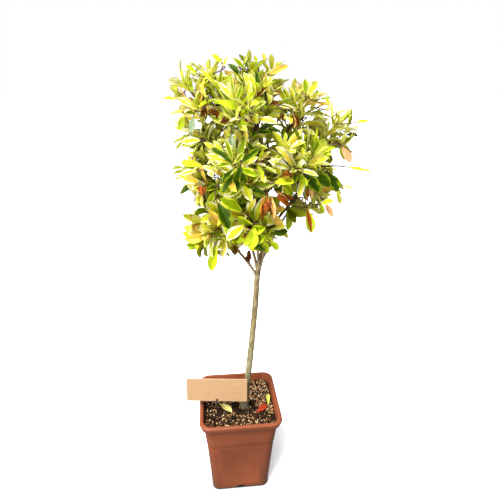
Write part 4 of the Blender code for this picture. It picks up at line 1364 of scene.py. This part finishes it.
class PHOTINIA_OT_foliage(bpy.types.Operator):
    """Grows the twigs and leaves of each mass of foliage"""
    bl_idname = "photinia.foliage"
    bl_label = "Foliage"

    def execute(self, context):
        limbs, masses = grow_limbs()
        limb_map = LimbMap(limbs.values())
        materials = [leaf_material(name, tone) for name, tone in TINTS.items()]
        twigs = TubeMesh()
        fine = context.scene.photinia.fine_shoots
        grown = {}
        for name, mass in masses.items():
            rng = random.Random(MASSES[name][-1])
            shoots = []
            pick_shoots(mass, limb_map, rng, shoots, SHOOTS_PER_MASS, SHOOT_SPACING, SHOOT_DEPTH, SHOOT_MARGIN)
            total = SHOOTS_PER_MASS + round(fine * OPEN_MASSES.get(name, 1))
            pick_shoots(mass, limb_map, rng, shoots, total, FINE_SPACING, FINE_DEPTH, FINE_MARGIN, FINE_SHELL)
            tip, along, _ = limbs["bough_" + name].at(1)
            grown[name] = grow_twigs(tip - along * STEM_SINK, along, shoots, len(shoots))
            for limb in grown[name]:
                twigs.add(limb.line, limb.radii, TWIG_SIDES)
        crowd = Crowd()
        notable = LeafMesh()
        twig_map = LimbMap([limb for group in grown.values() for limb in group])
        grow_features(twig_map, crowd, notable, twigs)
        piece = new_piece("leaves_notable", notable.verts, notable.faces, materials, notable.indices, LEAF_CREASE)
        settle(piece, "leafage")
        for name, mass in masses.items():
            rng = random.Random(MASSES[name][-1])
            made = LeafMesh()
            for limb in grown[name]:
                if limb.name == "shoot":
                    count = round(LEAVES_PER_SHOOT * (0.6 + 0.4 * OPEN_MASSES.get(name, 1)))
                    grow_leaves(limb, mass, limb_map, crowd, made, rng, count)
            piece = new_piece("leaves_" + name, made.verts, made.faces, materials, made.indices, LEAF_CREASE)
            settle(piece, "leafage", "foliage_" + name)
        piece = new_piece("twigs", twigs.verts, twigs.faces, [twig_material()], crease=math.radians(70))
        settle(piece, "leafage", *["foliage_" + name for name in masses])
        return {"FINISHED"}


class PHOTINIA_OT_label(bpy.types.Operator):
    """Finishes the blank wooden label and its pick"""
    bl_idname = "photinia.label"
    bl_label = "Label"

    def execute(self, context):
        finishes = {"label_board": board_material(), "label_pick": plain_material("dark pick", colour(40, 32, 26), 0.5)}
        for name, finish in finishes.items():
            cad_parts[name].data.materials.clear()
            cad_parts[name].data.materials.append(finish)
        return {"FINISHED"}


# Each dropped leaf: its heading in degrees, its width as a share of its length, its tint and its fold
DROPPED = {
    "dropped_leaf_pale": (-48.0, 0.42, colour(226, 212, 120), 0.35),
    "dropped_leaf_red": (42.0, 0.38, colour(150, 48, 24), 0.5),
    "dropped_leaf_lime": (84.0, 0.24, colour(204, 204, 84), 0.8),
}


class PHOTINIA_OT_dropped(bpy.types.Operator):
    """Lays the dropped leaves on the potting mix"""
    bl_idname = "photinia.dropped"
    bl_label = "Dropped leaves"

    def execute(self, context):
        for name, (heading, width_share, tone, fold) in DROPPED.items():
            low, high = (Vector(corner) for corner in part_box(name))
            along = Matrix.Rotation(math.radians(heading), 3, "Z") @ Vector((1, 0, 0))
            length = (high - low).xy.length * 0.92
            root = low.lerp(high, 0.5) - along * length / 2
            leaf = LeafShape(root, along, Vector((0, 0, 1)), length, length * width_share, random.Random(name))
            leaf.droop = 0.0
            leaf.fold = fold
            made = LeafMesh()
            made.add(leaf, 0, 0, 0, 0.3)
            finish = leaf_material(name + " finish", tone, 0.6)
            piece = new_piece(name + "_blade", made.verts, made.faces, [finish], made.indices, LEAF_CREASE)
            settle(piece, "dry_leaf", name)
        return {"FINISHED"}


def light_sky():
    """A white sky that the camera sees at full strength and that lights the plant less."""
    world = bpy.data.worlds.new("studio")
    world.use_nodes = True
    nodes, links = world.node_tree.nodes, world.node_tree.links
    path = nodes.new("ShaderNodeLightPath")
    strength = nodes.new("ShaderNodeMapRange")
    strength.inputs["To Min"].default_value = SKY_LIGHT
    strength.inputs["To Max"].default_value = SKY_SEEN
    links.new(path.outputs["Is Camera Ray"], strength.inputs["Value"])
    links.new(strength.outputs[0], nodes["Background"].inputs["Strength"])
    nodes["Background"].inputs["Color"].default_value = (1.0, 1.0, 1.0, 1.0)
    return world


class PHOTINIA_OT_stage(bpy.types.Operator):
    """Sets the floor, the soft light and the camera"""
    bl_idname = "photinia.stage"
    bl_label = "Stage"

    def execute(self, context):
        deselect()
        bpy.ops.mesh.primitive_plane_add(size=FLOOR_SIZE, location=(0, 0, 0))
        floor = context.active_object
        floor.name = "floor"
        tone = context.scene.photinia.floor_tone
        floor.data.materials.append(floor_material(tone))
        floor.visible_diffuse = False
        floor.visible_glossy = False
        context.scene.world = light_sky()
        light = bpy.data.lights.new("sun", "SUN")
        light.energy = SUN_LIGHT
        light.angle = SUN_SPREAD
        sun = bpy.data.objects.new("sun", light)
        sun.rotation_euler = (-SUN_PLACE).to_track_quat("-Z", "Y").to_euler()
        context.scene.collection.objects.link(sun)
        soft = bpy.data.lights.new("softbox", "AREA")
        soft.energy = SOFTBOX_LIGHT
        soft.size = SOFTBOX_SIZE
        softbox = bpy.data.objects.new("softbox", soft)
        softbox.location = SOFTBOX_PLACE
        softbox.rotation_euler = (CROWN_CENTRE - SOFTBOX_PLACE).to_track_quat("-Z", "Y").to_euler()
        context.scene.collection.objects.link(softbox)
        lens = bpy.data.cameras.new("camera")
        lens.sensor_width = SENSOR_WIDTH
        lens.lens = SENSOR_WIDTH * CAMERA_FOCAL_SHARE
        lens.sensor_fit = "HORIZONTAL"
        lens.clip_end = FLOOR_SIZE
        camera = bpy.data.objects.new("camera", lens)
        turn = Matrix.Rotation(CAMERA_YAW, 4, "Z") @ Matrix.Rotation(math.pi / 2 - CAMERA_PITCH, 4, "X")
        camera.matrix_world = Matrix.Translation(CAMERA_PLACE) @ turn @ Matrix.Rotation(CAMERA_ROLL, 4, "Z")
        context.scene.collection.objects.link(camera)
        context.scene.camera = camera
        context.scene.view_settings.view_transform = "Standard"
        return {"FINISHED"}


OPERATORS = (PHOTINIA_OT_pot, PHOTINIA_OT_soil, PHOTINIA_OT_limbs, PHOTINIA_OT_foliage, PHOTINIA_OT_label,
             PHOTINIA_OT_dropped, PHOTINIA_OT_stage)


class PHOTINIA_PT_panel(bpy.types.Panel):
    """Lists the pieces of the potted photinia"""
    bl_idname = "PHOTINIA_PT_panel"
    bl_label = "Potted photinia"
    bl_space_type = "VIEW_3D"
    bl_region_type = "UI"
    bl_category = "Photinia"

    def draw(self, context):
        for name in PhotiniaSettings.__annotations__:
            self.layout.prop(context.scene.photinia, name)
        for operator in OPERATORS:
            self.layout.operator(operator.bl_idname)


CLASSES = (PhotiniaSettings, *OPERATORS, PHOTINIA_PT_panel)


def register():
    for item in CLASSES:
        bpy.utils.register_class(item)
    bpy.types.Scene.photinia = bpy.props.PointerProperty(type=PhotiniaSettings)


def unregister():
    del bpy.types.Scene.photinia
    for item in reversed(CLASSES):
        bpy.utils.unregister_class(item)


def main():
    register()
    bpy.ops.photinia.stage()
    bpy.ops.photinia.pot()
    bpy.ops.photinia.soil()
    bpy.ops.photinia.limbs()
    bpy.ops.photinia.foliage()
    bpy.ops.photinia.label()
    bpy.ops.photinia.dropped()


if __name__ == "__main__":
    main()
